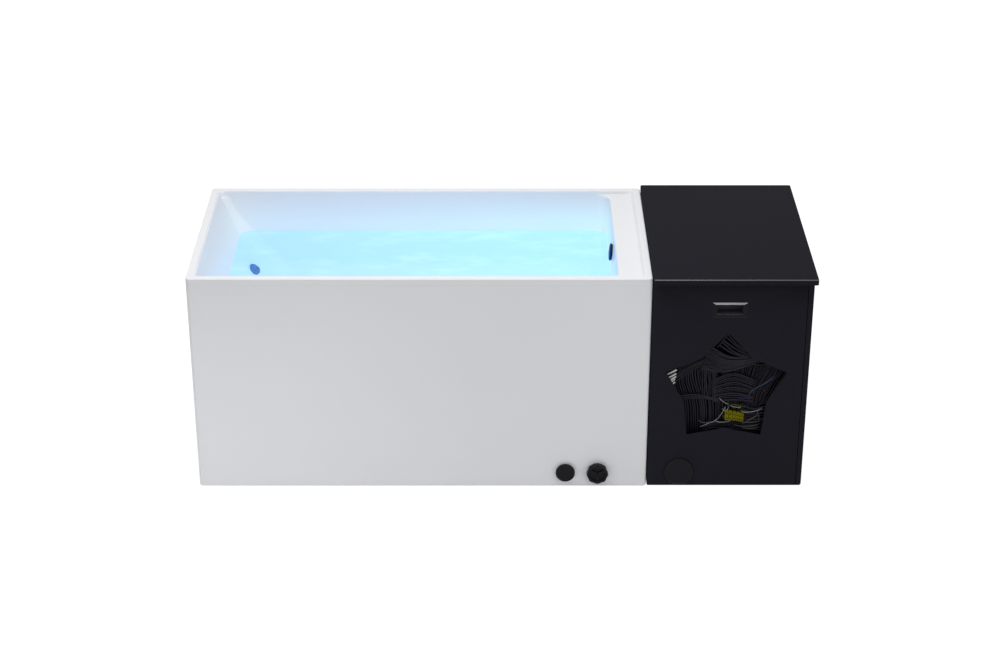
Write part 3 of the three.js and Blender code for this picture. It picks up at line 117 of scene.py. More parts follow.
class Wire:
    def __init__(self, net, socket):
        self.net = net
        self.socket = socket

    def sum(self, operation, first, second=0.0, clamp=False):
        settings = {"operation": operation, "use_clamp": clamp}
        return self.net.node("ShaderNodeMath", settings, {0: first, 1: second})

    def other(self, name):
        return Wire(self.net, self.socket.node.outputs[name])

    def __add__(self, value):
        return self.sum("ADD", self, value)

    def __sub__(self, value):
        return self.sum("SUBTRACT", self, value)

    def __rsub__(self, value):
        return self.sum("SUBTRACT", value, self)

    def __mul__(self, value):
        return self.sum("MULTIPLY", self, value)

    def __truediv__(self, value):
        return self.sum("DIVIDE", self, value)

    def larger(self, value):
        return self.sum("MAXIMUM", self, value)

    def clamped(self):
        return self.sum("ADD", self, clamp=True)

    __radd__ = __add__
    __rmul__ = __mul__


print("reflected operators:", sorted(name for name in vars(Wire) if name.startswith("__r")))

# %% [markdown]
# Net holds one node tree, of a material or of the sky. Its method node() adds any node: settings
# first, because some of them change which sockets there are, and then values or links. One
# method for every kind keeps each shader below down to a few lines.

# %% Nets of nodes


class Net:
    def __init__(self, tree):
        self.tree = tree

    def node(self, kind, settings=None, inputs=None, output=0):
        made = self.tree.nodes.new(kind)
        for label, value in (settings or {}).items():
            if label == "stops":
                self.set_stops(made.color_ramp, value)
            else:
                setattr(made, label, value)
        for label, value in (inputs or {}).items():
            self.join(value, made.inputs[label])
        return Wire(self, made.outputs[output])

    def set_stops(self, ramp, stops):
        for element, (place, colour) in zip(ramp.elements, stops):
            element.position = place
            element.color = (*colour, 1.0)

    def join(self, value, socket):
        if isinstance(value, Wire):
            self.tree.links.new(value.socket, socket)
        elif socket.type == "RGBA":
            socket.default_value = (*value, 1.0)
        else:
            socket.default_value = value


print("a net has:", [name for name in vars(Net) if not name.startswith("_")])

# %% [markdown]
# Finish is the net of one material. Numbers that are the same all over go straight to the main
# shader when it is made, and feed() joins what varies. Noise, a blend of two colours and a bump
# are in nearly every real surface, so each has a short method of its own.

# %% Finishes


class Finish(Net):
    def __init__(self, name, fixed):
        self.material = bpy.data.materials.new(name)
        self.material.use_nodes = True
        super().__init__(self.material.node_tree)
        self.shader = self.tree.nodes["Principled BSDF"]
        for label, value in fixed.items():
            self.join(value, self.shader.inputs[label])

    def feed(self, **results):
        for label, value in results.items():
            self.join(value, self.shader.inputs[label.replace("_", " ")])

    def place(self):
        return self.node("ShaderNodeTexCoord", output="Object")

    def noise(self, scale, detail=3.0, roughness=0.5, stretch=None):
        where = self.place()
        if stretch:
            where = self.node("ShaderNodeMapping", {}, {"Vector": where, "Scale": stretch})
        inputs = {"Vector": where, "Scale": scale, "Detail": detail, "Roughness": roughness}
        return self.node("ShaderNodeTexNoise", {}, inputs)

    def blend(self, share, low, high):
        inputs = {"Factor": share, "A": low, "B": high}
        return self.node("ShaderNodeMix", {"data_type": "RGBA"}, inputs, output="Result")

    def bump(self, height, strength, distance):
        inputs = {"Height": height, "Strength": strength, "Distance": distance}
        return self.node("ShaderNodeBump", {}, inputs, output="Normal")


print("a finish adds:", [name for name in vars(Finish) if not name.startswith("_")])

# %% [markdown]
# The tub is thick sheet acrylic, pressed over a mould. It is glossy and very even, with the
# faint long waves of pressed sheet and a light haze of handling on the gloss. Inside the basin
# the blue of the lit water falls on it. That light is painted in, not left to bounced light: a
# slow blend by height and length, to a cooler colour with a faint glow, is steadier and survives an export.

# %% White acrylic
ACRYLIC_LOW = (0.80, 0.81, 0.835)
ACRYLIC_HIGH = (0.82, 0.83, 0.855)
ACRYLIC_WATER_LIGHT = (0.785, 0.850, 0.910)
ACRYLIC_PAINTED_GLOW = (0.085, 0.165, 0.120)
NO_GLOW = (0, 0, 0)
WATER_LIGHT_TOP = (RIM_Z - 10) * MM
WATER_LIGHT_OVER = 0.100
WATER_LIGHT_LEFT = -1.60
WATER_LIGHT_ALONG = 1.75


# How much painted water light a point gets: none 10 mm under the rim, all of it 100 mm lower, and more
# towards the cabinet end.
def water_light_share(finish):
    height = finish.node("ShaderNodeSeparateXYZ", {}, {"Vector": finish.place()}, output="Z")
    below = ((WATER_LIGHT_TOP - height) / WATER_LIGHT_OVER).clamped()
    along = ((height.other("X") - WATER_LIGHT_LEFT) / WATER_LIGHT_ALONG).clamped()
    return below * along


def white_acrylic(name, lit_by_water):
    finish = Finish(name, {"IOR": 1.49, "Coat Roughness": 0.08, "Emission Strength": float(lit_by_water)})
    haze = finish.noise(3.0, detail=4.0)
    waves = finish.noise(9.0, detail=1.0)
    colour = finish.blend(haze, ACRYLIC_LOW, ACRYLIC_HIGH)
    # Painted light: the water's blue light on the walls, as a cooler base colour and a faint emission.
    if lit_by_water:
        share = water_light_share(finish)
        colour = finish.blend(share, colour, ACRYLIC_WATER_LIGHT)
        finish.feed(Emission_Color=finish.blend(share, NO_GLOW, ACRYLIC_PAINTED_GLOW))
    finish.feed(
        Base_Color=colour,
        Roughness=0.30 + 0.08 * haze,
        Coat_Weight=0.20 + 0.15 * haze,
        Normal=finish.bump(waves, 0.10, 0.0005),
    )
    return finish.material


ACRYLIC = white_acrylic("white_acrylic", lit_by_water=False)
BASIN_ACRYLIC = white_acrylic("basin_acrylic", lit_by_water=True)
print("made", ACRYLIC.name, BASIN_ACRYLIC.name)

# %% [markdown]
# The cabinet is folded sheet with a black powder coat: a matt paint with a fine pebbled grain
# that you can feel with a nail. Grain of about a millimetre goes in as bump, and a slow, faint
# change of roughness keeps big flat panels from looking like cut paper. The lid is a board with
# the same paint, a little paler and almost without gloss.

# %% Black powder coat
COAT_LOW = (0.0100, 0.0094, 0.0146)
COAT_HIGH = (0.0130, 0.0122, 0.0184)
LID_LOW = (0.0135, 0.0135, 0.0180)
LID_HIGH = (0.0180, 0.0180, 0.0240)
COAT_ROUGHNESS = 0.46


def powder_coat(name, low, high, grain_scale, gloss):
    finish = Finish(name, {"IOR": 1.45, "Specular IOR Level": gloss})
    grain = finish.noise(grain_scale, detail=2.0, roughness=0.6)
    cloud = finish.noise(4.0)
    finish.feed(
        Base_Color=finish.blend(0.6 * cloud + 0.4 * grain, low, high),
        Roughness=COAT_ROUGHNESS + 0.12 * cloud,
        Normal=finish.bump(grain, 0.22, 0.0004),
    )
    return finish.material


COAT = powder_coat("black_powder_coat", COAT_LOW, COAT_HIGH, 900.0, gloss=0.07)
LID_COAT = powder_coat("black_lid_board", LID_LOW, LID_HIGH, 700.0, gloss=0.010)
print("made", COAT.name, LID_COAT.name)

# %% [markdown]
# Caps, knobs, frames and fans are moulded plastic. A mould leaves a very fine spark-eroded
# texture, and hands polish the high places a little, so roughness wanders. One function makes
# them all, rubber and paint too: only colours, gloss and the scale of the grain differ.

# %% Moulded plastics and rubber


def moulded(name, low, high, roughness, grain=1400.0, depth=0.12, gloss=0.45, wear_scale=24.0):
    finish = Finish(name, {"IOR": 1.5, "Specular IOR Level": gloss})
    texture = finish.noise(grain, detail=2.0)
    wear = finish.noise(wear_scale, detail=4.0, roughness=0.6)
    finish.feed(
        Base_Color=finish.blend(wear, low, high),
        Roughness=roughness + 0.16 * (wear - 0.5),
        Normal=finish.bump(texture, depth, 0.0003),
    )
    return finish.material


BLACK_PLASTIC = moulded("moulded_black", (0.0075, 0.0072, 0.01), (0.012, 0.0115, 0.015), 0.42, gloss=0.08)
FITTING_BLACK = moulded("fitting_black", (0.006, 0.006, 0.008), (0.010, 0.010, 0.013), 0.38, gloss=0.10)
# Painted highlight: a paler, glossy black for rounds that face the lamp.
EDGE_PAINTED_HIGHLIGHT = moulded("edge_painted_highlight", (0.024, 0.024, 0.029), (0.040, 0.040, 0.047), 0.26, gloss=1.0)
# Painted shade: near-black for the plate behind the cables, so the gaps between them look shaded.
PLATE_PAINTED_SHADE = moulded("matt_painted_shade", (0.0014, 0.0014, 0.002), (0.0026, 0.0026, 0.0034), 0.7, gloss=0.02)
# Painted highlight: pale grey for the pull's upper bevel, which faces the lamp.
PULL_PAINTED_HIGHLIGHT = moulded("pull_painted_highlight", (0.40, 0.395, 0.44), (0.46, 0.455, 0.50), 0.24, gloss=0.9)
# Satin black, paler than the frame: painted light in the pull's cup, which lies in shade.
CUP_SATIN_PAINTED_LIGHT = moulded("cup_satin_painted_light", (0.028, 0.027, 0.036), (0.034, 0.033, 0.042), 0.5, gloss=0.12)
NAVY_PLASTIC = moulded("moulded_navy", (0.0006, 0.024, 0.110), (0.001, 0.042, 0.165), 0.36, gloss=0.06)
PALE_HOSE = moulded("pale_hose", (0.62, 0.63, 0.65), (0.70, 0.71, 0.73), 0.45, grain=300.0)
RUBBER = moulded("foot_rubber", (0.010, 0.010, 0.011), (0.018, 0.018, 0.019), 0.78, grain=700.0, depth=0.3)
SHELL_PAINT = moulded("compressor_paint", (0.006, 0.006, 0.007), (0.012, 0.012, 0.013), 0.34, grain=260.0)
CONNECTOR_WHITE = moulded("connector_white", (0.84, 0.84, 0.84), (0.93, 0.93, 0.92), 0.42)
TERMINAL_YELLOW = moulded(
    "terminal_yellow", (0.008, 0.008, 0.001), (0.30, 0.27, 0.006), 0.40, gloss=0.05, wear_scale=170.0
)
print("materials so far:", len(bpy.data.materials))

# %% [markdown]
# Metals: zinc plated steel has pale blotches, fins are rolled with lines across them, and drawn
# copper pipe darkens where it was handled. All three are one noise that colour, roughness and
# bump share. For the fins it is stretched into lines.

# %% Metals


def metal(name, low, high, roughness, scale, stretch=None):
    finish = Finish(name, {"Metallic": 1.0})
    blotch = finish.noise(scale, detail=4.0, roughness=0.6, stretch=stretch)
    finish.feed(
        Base_Color=finish.blend(blotch, low, high),
        Roughness=roughness + 0.22 * (blotch - 0.5),
        Normal=finish.bump(blotch, 0.08, 0.0004),
    )
    return finish.material


ZINC = metal("zinc_plate", (0.36, 0.37, 0.39), (0.52, 0.53, 0.55), 0.38, 60.0)
FINS = metal("rolled_fins", (0.48, 0.49, 0.50), (0.62, 0.63, 0.64), 0.36, 90.0, (1.0, 1.0, 0.05))
COPPER = metal("drawn_copper", (0.44, 0.17, 0.075), (0.62, 0.27, 0.13), 0.30, 45.0)
print("made", ZINC.name, FINS.name, COPPER.name)

# %% [markdown]
# Cable sheath is soft PVC. Black sheath has a satin gloss, which is why each strand shows a thin
# bright line. A few cables have other colours. Each row is the darkest and the palest tone that
# wear gives one colour, and the moulded finish does the rest.

# %% Cable sheaths
SHEATH_TONES = {
    "black": ((0.0085, 0.0080, 0.0135), (0.0150, 0.0143, 0.0225)),
    "blue": ((0.014, 0.020, 0.055), (0.022, 0.030, 0.080)),
    "white": ((0.12, 0.12, 0.13), (0.50, 0.50, 0.51)),
    "grey": ((0.030, 0.031, 0.034), (0.20, 0.20, 0.205)),
    "olive": ((0.06, 0.058, 0.006), (0.14, 0.13, 0.012)),
    "sky": ((0.060, 0.095, 0.170), (0.085, 0.130, 0.220)),
    "violet": ((0.032, 0.030, 0.085), (0.045, 0.042, 0.115)),
    "red": ((0.050, 0.012, 0.016), (0.070, 0.018, 0.022)),
}
SHEATHS = {}
for colour, (low, high) in SHEATH_TONES.items():
    SHEATHS[colour] = moulded(f"sheath_{colour}", low, high, 0.4, grain=600.0, depth=0.08, gloss=0.16)
print("cable colours:", sorted(SHEATHS))

# %% [markdown]
# Water in a white tub looks pale cyan, because red light is lost on the way down and back. The
# surface refracts, so the return jet below it seems to lie higher than it does. A weak blue glow
# stands for light that is scattered in the depth, and a ramp on the ripples makes crests paler.

# %% Water
WATER_TINT = (0.405, 0.525, 0.65)
WATER_PALE = (0.53, 0.62, 0.73)
WATER_GLOW = (0.001, 0.31, 1.0)
GLOW_STRENGTH = 0.36
CREST_STOPS = [(0.50, (0, 0, 0)), (0.72, (1, 1, 1))]
RIPPLE_STRETCH = (1.0, 2.2, 1.0)
CHOP_STRETCH = (1.0, 2.6, 1.0)


def plunge_water():
    fixed = {
        "IOR": 1.333,
        "Transmission Weight": 1.0,
        "Emission Strength": GLOW_STRENGTH,
        "Emission Color": WATER_GLOW,
    }
    finish = Finish("plunge_water", fixed)
    ripple = finish.noise(7.0, stretch=RIPPLE_STRETCH)
    chop = finish.noise(26.0, detail=2.0, stretch=CHOP_STRETCH)
    crest = finish.node("ShaderNodeValToRGB", {"stops": CREST_STOPS}, {"Fac": ripple})
    finish.feed(
        Base_Color=finish.blend(crest, WATER_TINT, WATER_PALE),
        Roughness=0.04 + 0.05 * crest,
        Normal=finish.bump(ripple + 0.3 * chop, 0.16, 0.008),
    )
    return finish.material


WATER = plunge_water()
print("made", WATER.name)

# %% [markdown]
# Every mesh made below ends the same way: points that fall together are welded, faces turn
# outwards, and shading is smooth, with sharp edges only where faces really meet at an angle.
# show() then says which body a piece rides on and hides the solid that it stands for.

# %% Mesh helpers
SHARP_ANGLE = math.radians(38)
WELD = 2e-6


def smooth(mesh):
    mesh.shade_smooth()
    mesh.set_sharp_from_angle(angle=SHARP_ANGLE)


def finish_mesh(name, mesh, material):
    shape = bmesh.new()
    shape.from_mesh(mesh)
    bmesh.ops.remove_doubles(shape, verts=shape.verts, dist=WELD)
    bmesh.ops.recalc_face_normals(shape, faces=shape.faces)
    shape.to_mesh(mesh)
    shape.free()
    smooth(mesh)
    mesh.materials.clear()
    mesh.materials.append(material)
    return add_object(name, mesh)


def show(piece, body, slot, *replaced):
    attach(piece, body)
    if replaced:
        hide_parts(*replaced)
    return piece


print("edges over", round(math.degrees(SHARP_ANGLE)), "degrees stay sharp")

# %% [markdown]
# Most pieces here are lofts: rings of points, one after another, joined by faces. A ring is often
# a rectangle with round corners, and the two corners at its low end may be rounder than the two
# at its high end. place() turns its two flat measures into a point in space.

# %% Lofts
CORNER_STEPS = 14


def skin(name, rings, material, closed=False, first_cap=True):
    count = len(rings[0])
    points = [point for ring in rings for point in ring]
    faces = []
    for band in range(len(rings) if closed else len(rings) - 1):
        near = band * count
        far = (band + 1) % len(rings) * count
        for i in range(count):
            j = (i + 1) % count
            faces.append((near + i, near + j, far + j, far + i))
    if not closed:
        if first_cap:
            faces.append(tuple(reversed(range(count))))
        faces.append(tuple(range(len(points) - count, len(points))))
    mesh = bpy.data.meshes.new(name)
    mesh.from_pydata(points, [], faces)
    return finish_mesh(name, mesh, material)


def rounded_ring(x0, x1, y0, y1, low_radius, high_radius, place, steps=CORNER_STEPS):
    corners = (
        (x1 - high_radius, y1 - high_radius, high_radius, 0),
        (x0 + low_radius, y1 - low_radius, low_radius, 1),
        (x0 + low_radius, y0 + low_radius, low_radius, 2),
        (x1 - high_radius, y0 + high_radius, high_radius, 3),
    )
    ring = []
    for x, y, radius, turn in corners:
        for step in range(steps + 1):
            angle = (turn + step / steps) * math.pi / 2
            ring.append(place(x + radius * math.cos(angle), y + radius * math.sin(angle)))
    return ring


print("a rounded ring has", 4 * (CORNER_STEPS + 1), "points")

# %% [markdown]
# Round pieces are turned, as on a lathe: a profile of radius and height goes round an axis. A
# hole is made by a turned cutter: a Boolean modifier takes it away, the result is kept as the
# piece's own mesh, slivers are cleaned up, and the cutter is deleted.

# %% Turned pieces and holes
UP = Vector((0, 0, 1))
FORWARD = Vector((0, -1, 0))


def turned(name, profile, place, axis, material, sides=64, closed=False):
    turn = UP.rotation_difference(Vector(axis))
    rings = []
    for radius, height in profile:
        ring = []
        for i in range(sides):
            angle = 2 * math.pi * i / sides
            local = Vector((radius * math.cos(angle), radius * math.sin(angle), height)) * MM
            ring.append(place + turn @ local)
        rings.append(ring)
    return skin(name, rings, material, closed)


def bore(place, axis, radius, depth):
    return turned("bore", [(radius, -depth), (radius, depth)], place, axis, ACRYLIC, sides=48)


def carve(piece, cutters):
    for cutter in cutters:
        hole = piece.modifiers.new("hole", "BOOLEAN")
        hole.operation = "DIFFERENCE"
        hole.solver = "EXACT"
        hole.object = cutter
    bpy.context.view_layer.update()
    whole = piece.evaluated_get(bpy.context.evaluated_depsgraph_get())
    mesh = bpy.data.meshes.new_from_object(whole)
    shape = bmesh.new()
    shape.from_mesh(mesh)
    bmesh.ops.remove_doubles(shape, verts=shape.verts, dist=WELD)
    bmesh.ops.dissolve_degenerate(shape, edges=shape.edges, dist=WELD)
    shape.to_mesh(mesh)
    shape.free()
    piece.modifiers.clear()
    piece.data = mesh
    smooth(mesh)
    for cutter in cutters:
        bpy.data.objects.remove(cutter)
    even = piece.modifiers.new("even", "WEIGHTED_NORMAL")
    even.mode = "FACE_AREA"
    even.keep_sharp = True
    return piece


print("directions: up", tuple(UP), "forward", tuple(FORWARD))

# %% [markdown]
# A turned or pressed edge is never quite sharp. eased() takes a row of corner points and rounds
# each one with a short arc, so that every edge can catch a line of light.

# %% Eased corners
EASE_STEPS = 5
EASE_LIMIT = 0.48


def eased(points, radius, closed=False):
    row = [Vector(point) for point in points]
    result = []
    last = len(row) - 1
    for i, corner in enumerate(row):
        if not closed and i in (0, last):
            result.append(tuple(corner))
            continue
        before = row[i - 1] - corner
        after = row[(i + 1) % len(row)] - corner
        reach = min(radius, before.length * EASE_LIMIT, after.length * EASE_LIMIT)
        start = corner + before.normalized() * reach
        end = corner + after.normalized() * reach
        for step in range(EASE_STEPS + 1):
            t = step / EASE_STEPS
            point = start * (1 - t) ** 2 + corner * (2 * t * (1 - t)) + end * t ** 2
            result.append(tuple(point))
    return result


print("an eased corner has", EASE_STEPS + 1, "points")

# %% [markdown]
# The basin is one sheet pressed over a mould: a flat rim, a low deck at the cabinet end, walls
# that lean outwards, a backrest that leans the most, and a floor that meets them in a wide
# curve. A loft suits it, with one ring for each level. insets() says how far in the walls stand
# at a depth under the rim, and corner_at() how round the backrest's corners are there.

# %% Basin levels
RIM_WIDTH = 26
DECK_WIDTH = 82
DECK_STEP = 12
WALL_CORNER = 52
RIM_CORNER = 18
CORNER_FADE = 150
BACKREST_LEAN = math.radians(27)
CABINET_LEAN = math.radians(4.5)
SIDE_LEAN = math.radians(10)


def insets(depth):
    left = RIM_WIDTH + depth * math.tan(BACKREST_LEAN)
    right = RIM_WIDTH + DECK_WIDTH + max(0, depth - DECK_STEP) * math.tan(CABINET_LEAN)
    side = RIM_WIDTH + depth * math.tan(SIDE_LEAN)
    return left, right, side


def level(left, right, side, depth, left_corner, right_corner):
    def place(x, y):
        return spot(x, y, RIM_Z - depth)

    return rounded_ring(
        left, TUB_LENGTH - right, side, TUB_DEPTH - side, left_corner, right_corner, place
    )


def even_level(inset, depth, corner):
    return level(inset, inset, inset, depth, corner, corner)


def corner_at(depth):
    share = min(1.0, max(0.0, (depth - DECK_STEP) / CORNER_FADE))
    return RIM_CORNER + (WALL_CORNER - RIM_CORNER) * share * share * (3 - 2 * share)


print("walls stand in at the rim:", insets(0), "and at 400 mm:", [round(value) for value in insets(400)])

# %% [markdown]
# The rings start in the middle of the floor, climb the walls and cross the deck. Each round is a
# quarter circle of several rings: at the floor, at the deck's edge and in the cove behind it.
# quarter() gives the two shares, from one to none and from none to one, that draw such an arc.

# %% Basin walls and deck
BASIN_DEPTH = 590
FLOOR_ROUND = 90
WALL_LEVELS = (420, 340, 260, 200, 170, 140, 110, 85, 60, 40, 26)
DECK_EDGE = 6
DECK_FALL = 0.4


def quarter(steps):
    angles = [step / steps * math.pi / 2 for step in range(steps + 1)]
    return [(1 - math.sin(angle), 1 - math.cos(angle)) for angle in angles]


def wall_rings():
    rings = []
    for rise, run in reversed(quarter(9)):
        depth = BASIN_DEPTH - FLOOR_ROUND * rise
        walls = [value + FLOOR_ROUND * run for value in insets(depth)]
        rings.append(level(*walls, depth, WALL_CORNER, WALL_CORNER))
    for depth in WALL_LEVELS:
        rings.append(level(*insets(depth), depth, corner_at(depth), WALL_CORNER))
    return rings


def deck_rings():
    rings = []
    for rise, run in quarter(6):
        depth = DECK_STEP + DECK_EDGE * rise
        left, _, side = insets(depth)
        right = RIM_WIDTH + DECK_WIDTH - DECK_EDGE * run
        rings.append(level(left, right, side, depth, corner_at(depth), WALL_CORNER))
    cove = DECK_STEP - DECK_FALL
    for rise, run in quarter(8)[:-2]:
        depth = cove * (1 - run)
        left, _, side = insets(depth)
        right = RIM_WIDTH + cove * rise
        rings.append(level(left, right, side, depth, RIM_CORNER, RIM_CORNER))
    return rings


basin_rings = wall_rings() + deck_rings()
print("rings from the floor to the deck:", len(basin_rings))

# %% [markdown]
# The rim is flat with two rounded edges, and its underside is flat too, because it rests on the
# skirt. From there the loft goes down again outside, six millimetres away from the inner wall. A
# solidify modifier could give that thickness, but it would thicken the rim as well.

# %% Basin rim and outside
RIM_ROUND = 4
RIM_THICKNESS = 20
TUB_CORNER = 12
BASIN_WALL = 6


def rim_rings():
    rings = []
    for rise, run in quarter(5):
        rings.append(even_level(RIM_WIDTH - RIM_ROUND * run, RIM_ROUND * rise, RIM_CORNER))
    for rise, run in quarter(6):
        inset = RIM_ROUND * rise
        rings.append(even_level(inset, RIM_ROUND * run, TUB_CORNER - inset))
    rings.append(even_level(0, RIM_THICKNESS, TUB_CORNER))
    return rings


def outside_rings():
    inner = [value - BASIN_WALL for value in insets(RIM_THICKNESS)]
    rings = [level(*inner, RIM_THICKNESS, WALL_CORNER, WALL_CORNER)]
    outer = FLOOR_ROUND + BASIN_WALL
    for rise, run in quarter(5):
        depth = BASIN_DEPTH + BASIN_WALL - outer * rise
        grow = outer * run - BASIN_WALL
        walls = [value + grow for value in insets(min(depth, BASIN_DEPTH))]
        rings.append(level(*walls, depth, WALL_CORNER, WALL_CORNER))
    return rings


basin_rings += rim_rings() + outside_rings()
print("rings of the whole basin:", len(basin_rings))

# %% [markdown]
# Three fittings pass through the shell: the overflow in the cabinet end, the return jet in the
# backrest and the drain in the floor. Each hole stands square to its own wall, so each axis comes
# from that wall's lean. A bore a little wider than the fitting's body makes the hole.

# %% Basin
JET_DROP = 267
JET_Y = 493
OVERFLOW_DROP = 76
DRAIN_X = 1190
MIDDLE_Y = TUB_DEPTH / 2
JET_SEAT = spot(insets(JET_DROP)[0], JET_Y, RIM_Z - JET_DROP)
JET_AXIS = Vector((math.cos(BACKREST_LEAN), 0, math.sin(BACKREST_LEAN)))
OVERFLOW_SEAT = spot(TUB_LENGTH - insets(OVERFLOW_DROP)[1], MIDDLE_Y, RIM_Z - OVERFLOW_DROP)
OVERFLOW_AXIS = Vector((-math.cos(CABINET_LEAN), 0, math.sin(CABINET_LEAN)))
DRAIN_SEAT = spot(DRAIN_X, MIDDLE_Y, RIM_Z - BASIN_DEPTH)
OVERFLOW_HOLE = 18.6
WIDE_HOLE = 24.6
BASIN_CUT = 40

basin = skin("basin_shell", basin_rings, BASIN_ACRYLIC)
carve(basin, [
    bore(OVERFLOW_SEAT, OVERFLOW_AXIS, OVERFLOW_HOLE, BASIN_CUT),
    bore(JET_SEAT, JET_AXIS, WIDE_HOLE, BASIN_CUT),
    bore(DRAIN_SEAT, UP, WIDE_HOLE, BASIN_CUT),
])
show(basin, "root", "acrylic_white", "basin")
print("basin faces:", len(basin.data.polygons))

# %% [markdown]
# The skirt is the plain outer wall. It is a closed loft: rings go up outside, from the eased foot
# to the underside of the rim, and down again inside. Two bores in front let the low fittings
# through, and two in the cabinet end let the hoses through.

# %% Skirt
TOUCH = 0.3
SKIRT_WALL = 6
SKIRT_FOOT = 2
FOOT_ROUND = 5
SKIRT_TOP = RIM_Z - RIM_THICKNESS - TOUCH
SKIRT_LEVELS = (150, 400, 600, SKIRT_TOP)
FRONT_FITTING_Z = 58
DRAIN_KNOB_X = 1335
PORT_X = 1228
FITTING_HOLE = 20.6
HOSE_PASSES = ((375, 128), (560, 400))
HOSE_HOLE = 22.6
SKIRT_CUT = 30


def skirt_ring(inset, z):
    return even_level(inset, RIM_Z - z, TUB_CORNER - inset)


def make_skirt():
    rings = []
    for rise, run in quarter(5):
        rings.append(skirt_ring(FOOT_ROUND / 2 * rise, SKIRT_FOOT + FOOT_ROUND * run))
    rings += [skirt_ring(0, z) for z in SKIRT_LEVELS]
    rings += [skirt_ring(SKIRT_WALL, z) for z in (SKIRT_TOP, SKIRT_FOOT)]
    wall = skin("skirt_wall", rings, ACRYLIC, closed=True)
    cutters = []
    for x in (DRAIN_KNOB_X, PORT_X):
        cutters.append(bore(spot(x, 0, FRONT_FITTING_Z), FORWARD, FITTING_HOLE, SKIRT_CUT))
    for y, z in HOSE_PASSES:
        cutters.append(bore(spot(TUB_LENGTH, y, z), (1, 0, 0), HOSE_HOLE, SKIRT_CUT))
    return carve(wall, cutters)


skirt = show(make_skirt(), "root", "acrylic_white", "skirt")
print("skirt faces:", len(skirt.data.polygons))

# %% [markdown]
# The water fills the basin to 140 millimetres under the rim. Its top is a fine grid with real
# waves, because the light on them has to be right from any side: three crossing pairs of sines,
# from a long swell to small chop. The outline follows the basin's wall at that level, a hair
# inside it, and the waves die out towards it. The sheet needs no bottom, because the basin has one.

# %% Water body
WATER_DROP = 140
WATER_GAP = 0.6
WATER_CORNER_STEPS = 16
WATER_PITCH = 16
WATER_RINGS = 46
WAVE_HEIGHT = 0.9
CALM_EDGE = 8


def wave(x, y):
    long_wave = math.sin(x * 0.021 + 1.6 * math.sin(y * 0.013)) * math.sin(y * 0.034 + 0.9)
    short_wave = math.sin(x * 0.057 - y * 0.041 + 2.0) * math.sin(y * 0.083 + x * 0.011)
    tiny_wave = math.sin(x * 0.151 + y * 0.062) * math.sin(y * 0.172 - x * 0.027)
    return WAVE_HEIGHT * (0.55 * long_wave + 0.3 * short_wave + 0.15 * tiny_wave)


def water_outline():
    left, right, side = (value + WATER_GAP for value in insets(WATER_DROP))
    corner = corner_at(WATER_DROP)

    def place(x, y):
        return Vector((x, y, RIM_Z - WATER_DROP))

    far = TUB_LENGTH - right
    back = TUB_DEPTH - side
    return rounded_ring(left, far, side, back, corner, WALL_CORNER, place, steps=WATER_CORNER_STEPS)


def evenly_spaced(ring, pitch):
    dense = []
    for i, point in enumerate(ring):
        after = ring[(i + 1) % len(ring)]
        parts = max(1, round((after - point).length / pitch))
        dense += [point.lerp(after, k / parts) for k in range(parts)]
    return dense


def make_water():
    edge = evenly_spaced(water_outline(), WATER_PITCH)
    x = sum(point.x for point in edge) / len(edge)
    y = sum(point.y for point in edge) / len(edge)
    middle = Vector((x, y, edge[0].z))
    rings = []
    for k in range(WATER_RINGS):
        share = 1 - k / WATER_RINGS
        calm = min(1.0, (1 - share) * CALM_EDGE)
        flat = [middle.lerp(point, share) for point in edge]
        rings.append([spot(p.x, p.y, p.z + calm * wave(p.x, p.y)) for p in flat])
    sheet = skin("water_surface", rings, WATER, first_cap=False)
    if sheet.data.polygons[0].normal.z < 0:
        sheet.data.flip_normals()
    sheet.visible_shadow = False
    return sheet


water = show(make_water(), "root", "acrylic_white")
print("water faces:", len(water.data.polygons))

# %% [markdown]
# The overflow sits high in the cabinet end: a shallow dome with three slots that let water out
# before it reaches the rim. It is turned with eased corners, and three flat boxes cut the slots.

# %% Overflow cover
FLANGE = 3
OVERFLOW_RADIUS = 30
DOME_RADIUS = OVERFLOW_RADIUS * 0.8
SLOT_RISES = (-7, 0, 7)
SLOT_HALF = Vector((30, 14, 1.75)) * MM


def overflow_dome():
    low = 2 * TOUCH + FLANGE
    profile = eased([
        (0, low),
        (OVERFLOW_RADIUS, low),
        (OVERFLOW_RADIUS, low + FLANGE),
        (DOME_RADIUS, low + 2 * FLANGE),
        (0, low + 2 * FLANGE),
    ], radius=2.2)
    return turned("overflow_dome", profile, OVERFLOW_SEAT, OVERFLOW_AXIS, NAVY_PLASTIC)


def box(name, low, high, material):
    mesh = bpy.data.meshes.new(name)
    shape = bmesh.new()
    bmesh.ops.create_cube(shape, size=1.0)
    for vert in shape.verts:
        for axis in range(3):
            vert.co[axis] = low[axis] if vert.co[axis] < 0 else high[axis]
    shape.to_mesh(mesh)
    shape.free()
    return finish_mesh(name, mesh, material)


def overflow_slots():
    centres = [OVERFLOW_SEAT + UP * rise * MM for rise in SLOT_RISES]
    return [box("slot", centre - SLOT_HALF, centre + SLOT_HALF, NAVY_PLASTIC) for centre in centres]


cover = carve(overflow_dome(), overflow_slots())
show(cover, "root", "plastic_navy", "overflow_cover")
print("made", cover.name, "with", len(SLOT_RISES), "slots")

# %% [markdown]
# The return jet is a ball with a hole, held by a ring with eight notches for the fitter's spanner.
# Both are turned. The ball stops short of its lip, where a small round leads into the hole, and it
# rides on the body that swivels, while the ring stays with the tub.

# %% Return jet
JET_RADIUS = 33
JET_BARREL = 24
JET_LENGTH = 60
JET_SOCKET = 19.7
JET_NECK = 4
JET_BALL = 19.4
JET_NOTCHES = 8
NOTCH_RADIUS = 3.6
NOTCH_CUT = 12
BALL_BORE = 9.7
BALL_LIP = 13
BALL_STEPS = 18
LIP_ROUND = ((2.6, 0), (0.8, -0.9), (0, -3))


